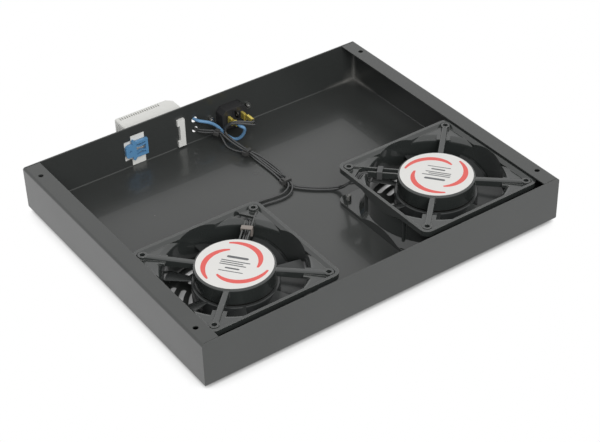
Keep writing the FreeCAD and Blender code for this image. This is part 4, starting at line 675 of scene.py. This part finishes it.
# ---- Thermostat scale -------------------------------------------------------------------
SCALE_STEPS, STEPS_TO_MAJOR = 24, 4
SCALE_HALF_SWEEP = 135
DEGREES_TO_MAJOR = 10
TICK_GAP, NUMBER_GAP, NUMBER_SIZE = 0.5 * MM, 2.75 * MM, 1.9 * MM
MAJOR_TICK, MINOR_TICK = (1.3 * MM, 0.16 * MM), (0.7 * MM, 0.09 * MM)    # length, half width
INK_SINK, INK_RISE = 0.02 * MM, 0.04 * MM


def print_scale():
    """Ticks and plain numbers round the dial, on the outer face of the cover."""
    low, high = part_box("thermostat_dial")
    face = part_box("thermostat_cover")[1].y
    middle, rim = (low + high) / 2, (high.x - low.x) / 2
    verts, faces = [], []
    for i in range(SCALE_STEPS + 1):
        major = i % STEPS_TO_MAJOR == 0
        length, half_width = MAJOR_TICK if major else MINOR_TICK
        angle = math.radians(SCALE_HALF_SWEEP * (2 * i / SCALE_STEPS - 1))
        along = Vector((-math.sin(angle), 0, math.cos(angle)))
        across = Vector((along.z, 0, -along.x)) * half_width
        inner = Vector((middle.x, face, middle.z)) + along * (rim + TICK_GAP)
        outer = inner + along * length
        a = len(verts)
        b = a + 4
        for depth in (-INK_SINK, INK_RISE):
            out = Vector((0, depth, 0))
            verts += [inner - across + out, inner + across + out,
                      outer + across + out, outer - across + out]
        faces += [[a, a + 1, a + 2, a + 3], [b, b + 1, b + 2, b + 3]]
        faces += [[a + k, a + (k + 1) % 4, b + (k + 1) % 4, b + k] for k in range(4)]
        if major:
            print_number(str(i * DEGREES_TO_MAJOR // STEPS_TO_MAJOR),
                         inner + along * NUMBER_GAP, face)
    piece("thermostat_scale_ticks", verts, faces, SCALE_INK, "light_plastic")


def print_number(text, spot, face):
    data = bpy.data.curves.new("thermostat_scale_" + text, "FONT")
    data.body, data.size, data.extrude = text, NUMBER_SIZE, INK_SINK
    data.align_x = data.align_y = "CENTER"
    data.materials.append(SCALE_INK)
    made = bpy.data.objects.new("thermostat_scale_" + text, data)
    made.matrix_world = (Matrix.Translation((spot.x, face + INK_SINK, spot.z))
                         @ Matrix.Rotation(math.pi, 4, "Z") @ Matrix.Rotation(math.pi / 2, 4, "X"))
    bpy.context.collection.objects.link(made)
    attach(made, FIXED)


# ---- Harness ----------------------------------------------------------------------------
# Routes in millimetres, with heights from the tray's underside.
BLUE_ROUTE = [
    (-21.0, 151.6, 24.0), (-10.0, 151.6, 24.0), (-6.0, 149.2, 24.0), (-5.2, 143.0, 24.1),
    (-4.0, 137.0, 24.2), (-0.2, 133.8, 23.6), (4.8, 132.4, 21.4), (10.2, 132.2, 17.2),
    (14.4, 131.0, 12.4), (16.9, 128.4, 8.0), (19.2, 124.2, 4.8), (21.8, 120.0, 3.2),
    (24.2, 116.4, 4.2), (26.0, 112.8, 7.8), (27.2, 110.2, 12.2), (27.4, 108.6, 16.4),
    (26.4, 107.4, 20.0), (24.6, 108.8, 21.4), (24.0, 111.8, 21.1), (24.0, 117.6, 21.1)]
LEFT_LINE_ROUTE = [
    (-21.0, 151.6, 14.55), (-10.8, 151.6, 14.55), (-6.5, 148.8, 14.6), (-5.4, 142.6, 14.6),
    (-3.4, 137.4, 14.4), (1.6, 133.4, 13.8), (8.29, 129.28, 12.96), (11.77, 125.02, 11.9),
    (12.4, 118.6, 10.2), (13.8, 110.6, 8.2), (16.0, 102.4, 6.6), (17.99, 94.77, 5.75),
    (19.79, 88.63, 5.75), (21.2, 82.6, 4.4), (22.4, 75.0, 2.6), (22.9, 64.4, 2.45),
    (22.9, 53.0, 2.45), (22.2, 43.4, 4.2), (20.35, 36.7, 5.75), (20.35, 30.3, 5.75),
    (17.6, 26.0, 4.4), (10.6, 23.6, 2.5), (2.0, 24.2, 2.45), (-7.6, 25.6, 2.45),
    (-17.0, 26.6, 2.45), (-26.5, 22.6, 3.6), (-36.0, 15.4, 7.4), (-45.0, 7.4, 12.0),
    (-53.2, -2.0, 17.8), (-59.0, -11.6, 24.2), (-61.83, -19.75, 29.5), (-59.56, -24.56, 33.7),
    (-59.67, -29.69, 34.7), (-86.19, -56.2, 34.7)]
LEFT_NEUTRAL_ROUTE = [
    (38.0, 113.4, 22.15), (38.0, 109.2, 22.15), (36.6, 107.0, 22.6), (33.2, 106.4, 23.8),
    (28.2, 109.0, 25.0), (23.2, 113.2, 25.2), (19.2, 118.2, 23.0), (17.2, 123.0, 18.4),
    (16.2, 125.4, 13.2), (15.1, 123.2, 9.2), (14.6, 117.8, 7.4), (15.9, 110.4, 6.0),
    (18.0, 102.4, 4.4),
    (20.01, 95.37, 3.6), (21.81, 89.23, 3.6), (23.6, 83.0, 2.6), (24.9, 75.0, 2.45),
    (25.3, 64.0, 2.45), (25.2, 52.0, 2.45), (24.4, 42.6, 4.0), (22.45, 36.7, 5.75),
    (22.45, 30.3, 5.75), (21.4, 25.0, 5.0), (16.2, 20.2, 2.9), (8.0, 17.4, 2.45),
    (-1.6, 18.4, 2.45), (-11.6, 20.4, 2.45), (-21.4, 19.0, 2.7), (-31.2, 12.6, 5.8),
    (-40.6, 4.4, 10.8), (-49.4, -4.8, 17.2), (-55.8, -13.4, 24.2), (-59.0, -19.75, 29.6),
    (-56.74, -24.84, 33.2), (-57.48, -30.46, 34.7), (-84.7, -57.69, 34.7)]
RIGHT_LINE_ROUTE = [
    (-21.0, 151.6, 12.45), (-9.6, 151.6, 12.45), (-6.0, 148.4, 12.4), (-5.4, 142.0, 12.4),
    (-3.2, 136.8, 12.1), (1.6, 132.8, 11.5), (8.03, 129.58, 10.9), (11.51, 125.32, 9.84),
    (10.9, 119.6, 6.6), (10.5, 114.8, 3.4), (11.6, 109.4, 2.5), (14.2, 102.0, 2.6),
    (17.99, 94.77, 3.6), (19.79, 88.63, 3.6), (20.0, 82.4, 2.6), (20.2, 74.8, 2.45),
    (20.7, 64.0, 2.45), (20.7, 52.6, 2.45), (19.8, 43.0, 2.45), (20.35, 36.7, 3.6),
    (20.35, 30.3, 3.6), (22.2, 25.6, 2.5), (27.2, 19.4, 2.45), (34.0, 12.8, 2.45),
    (42.0, 6.6, 2.45), (48.6, 2.2, 2.5), (51.6, -2.6, 5.0), (51.4, -8.2, 9.6),
    (48.0, -17.0, 18.2), (44.8, -25.8, 26.4), (45.0, -31.6, 29.6), (48.67, -33.33, 31.2),
    (53.06, -31.06, 33.7), (58.19, -31.17, 34.7), (84.7, -57.69, 34.7)]
RIGHT_NEUTRAL_ROUTE = [
    (38.0, 113.4, 20.05), (38.0, 107.8, 20.05), (36.8, 104.8, 20.8), (33.8, 103.6, 22.2),
    (30.0, 104.8, 23.6), (26.2, 107.6, 24.4), (21.4, 112.0, 24.6), (17.4, 117.2, 22.4),
    (15.2, 120.8, 18.0), (14.5, 121.9, 13.8), (14.7, 119.2, 10.9), (15.4, 114.0, 9.8),
    (17.2, 107.8, 7.8), (19.2, 101.0, 6.5),
    (20.01, 95.37, 5.75), (21.81, 89.23, 5.75), (24.8, 83.6, 4.6), (27.2, 75.4, 2.6),
    (27.8, 64.2, 2.45), (27.4, 52.4, 2.45), (25.9, 42.0, 2.5), (22.45, 36.7, 3.6),
    (22.45, 30.3, 3.6), (25.0, 26.4, 2.5), (29.8, 21.0, 2.45), (36.4, 14.8, 2.45),
    (44.0, 9.0, 2.45), (51.0, 4.6, 2.5), (54.2, -0.8, 5.0), (54.0, -6.6, 10.0),
    (50.6, -15.2, 18.2), (47.6, -23.4, 25.8), (46.8, -27.4, 28.9), (48.92, -30.82, 31.0),
    (53.34, -28.23, 33.2), (58.96, -28.98, 34.7), (86.19, -56.2, 34.7)]


def lead(name, route, diameter, material):
    """Insulated wire on one smooth line through its route."""
    curve = bpy.data.curves.new(name + "_line", "CURVE")
    curve.dimensions = "3D"
    spline = curve.splines.new("NURBS")
    spline.points.add(len(route) - 1)
    for point, spot in zip(spline.points, route):
        point.co = (*place(*spot), 1)
    spline.order_u = 3
    spline.use_endpoint_u = True
    spline.resolution_u = 8
    curve.bevel_depth = diameter * MM / 2
    curve.bevel_resolution = 4
    curve.use_fill_caps = True
    curve.materials.append(material)
    wire = bpy.data.objects.new(name + "_wire", curve)
    bpy.context.collection.objects.link(wire)
    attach(wire, FIXED)
    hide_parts(name)


def make_harness():
    lead("blue_lead", BLUE_ROUTE, 3.0, BLUE_SLEEVE)
    for name, route, length in (("left_fan_line_lead", LEFT_LINE_ROUTE, 304),
                                ("left_fan_neutral_lead", LEFT_NEUTRAL_ROUTE, 303),
                                ("right_fan_line_lead", RIGHT_LINE_ROUTE, 281),
                                ("right_fan_neutral_lead", RIGHT_NEUTRAL_ROUTE, 275)):
        lead(name, route, 1.9, BLACK_SLEEVE)


set_camera()
set_studio()
dress_nodes()
print_label("left_fan", math.radians(-52))
print_label("right_fan", math.radians(128))
print_scale()
cut_threads()
make_harness()
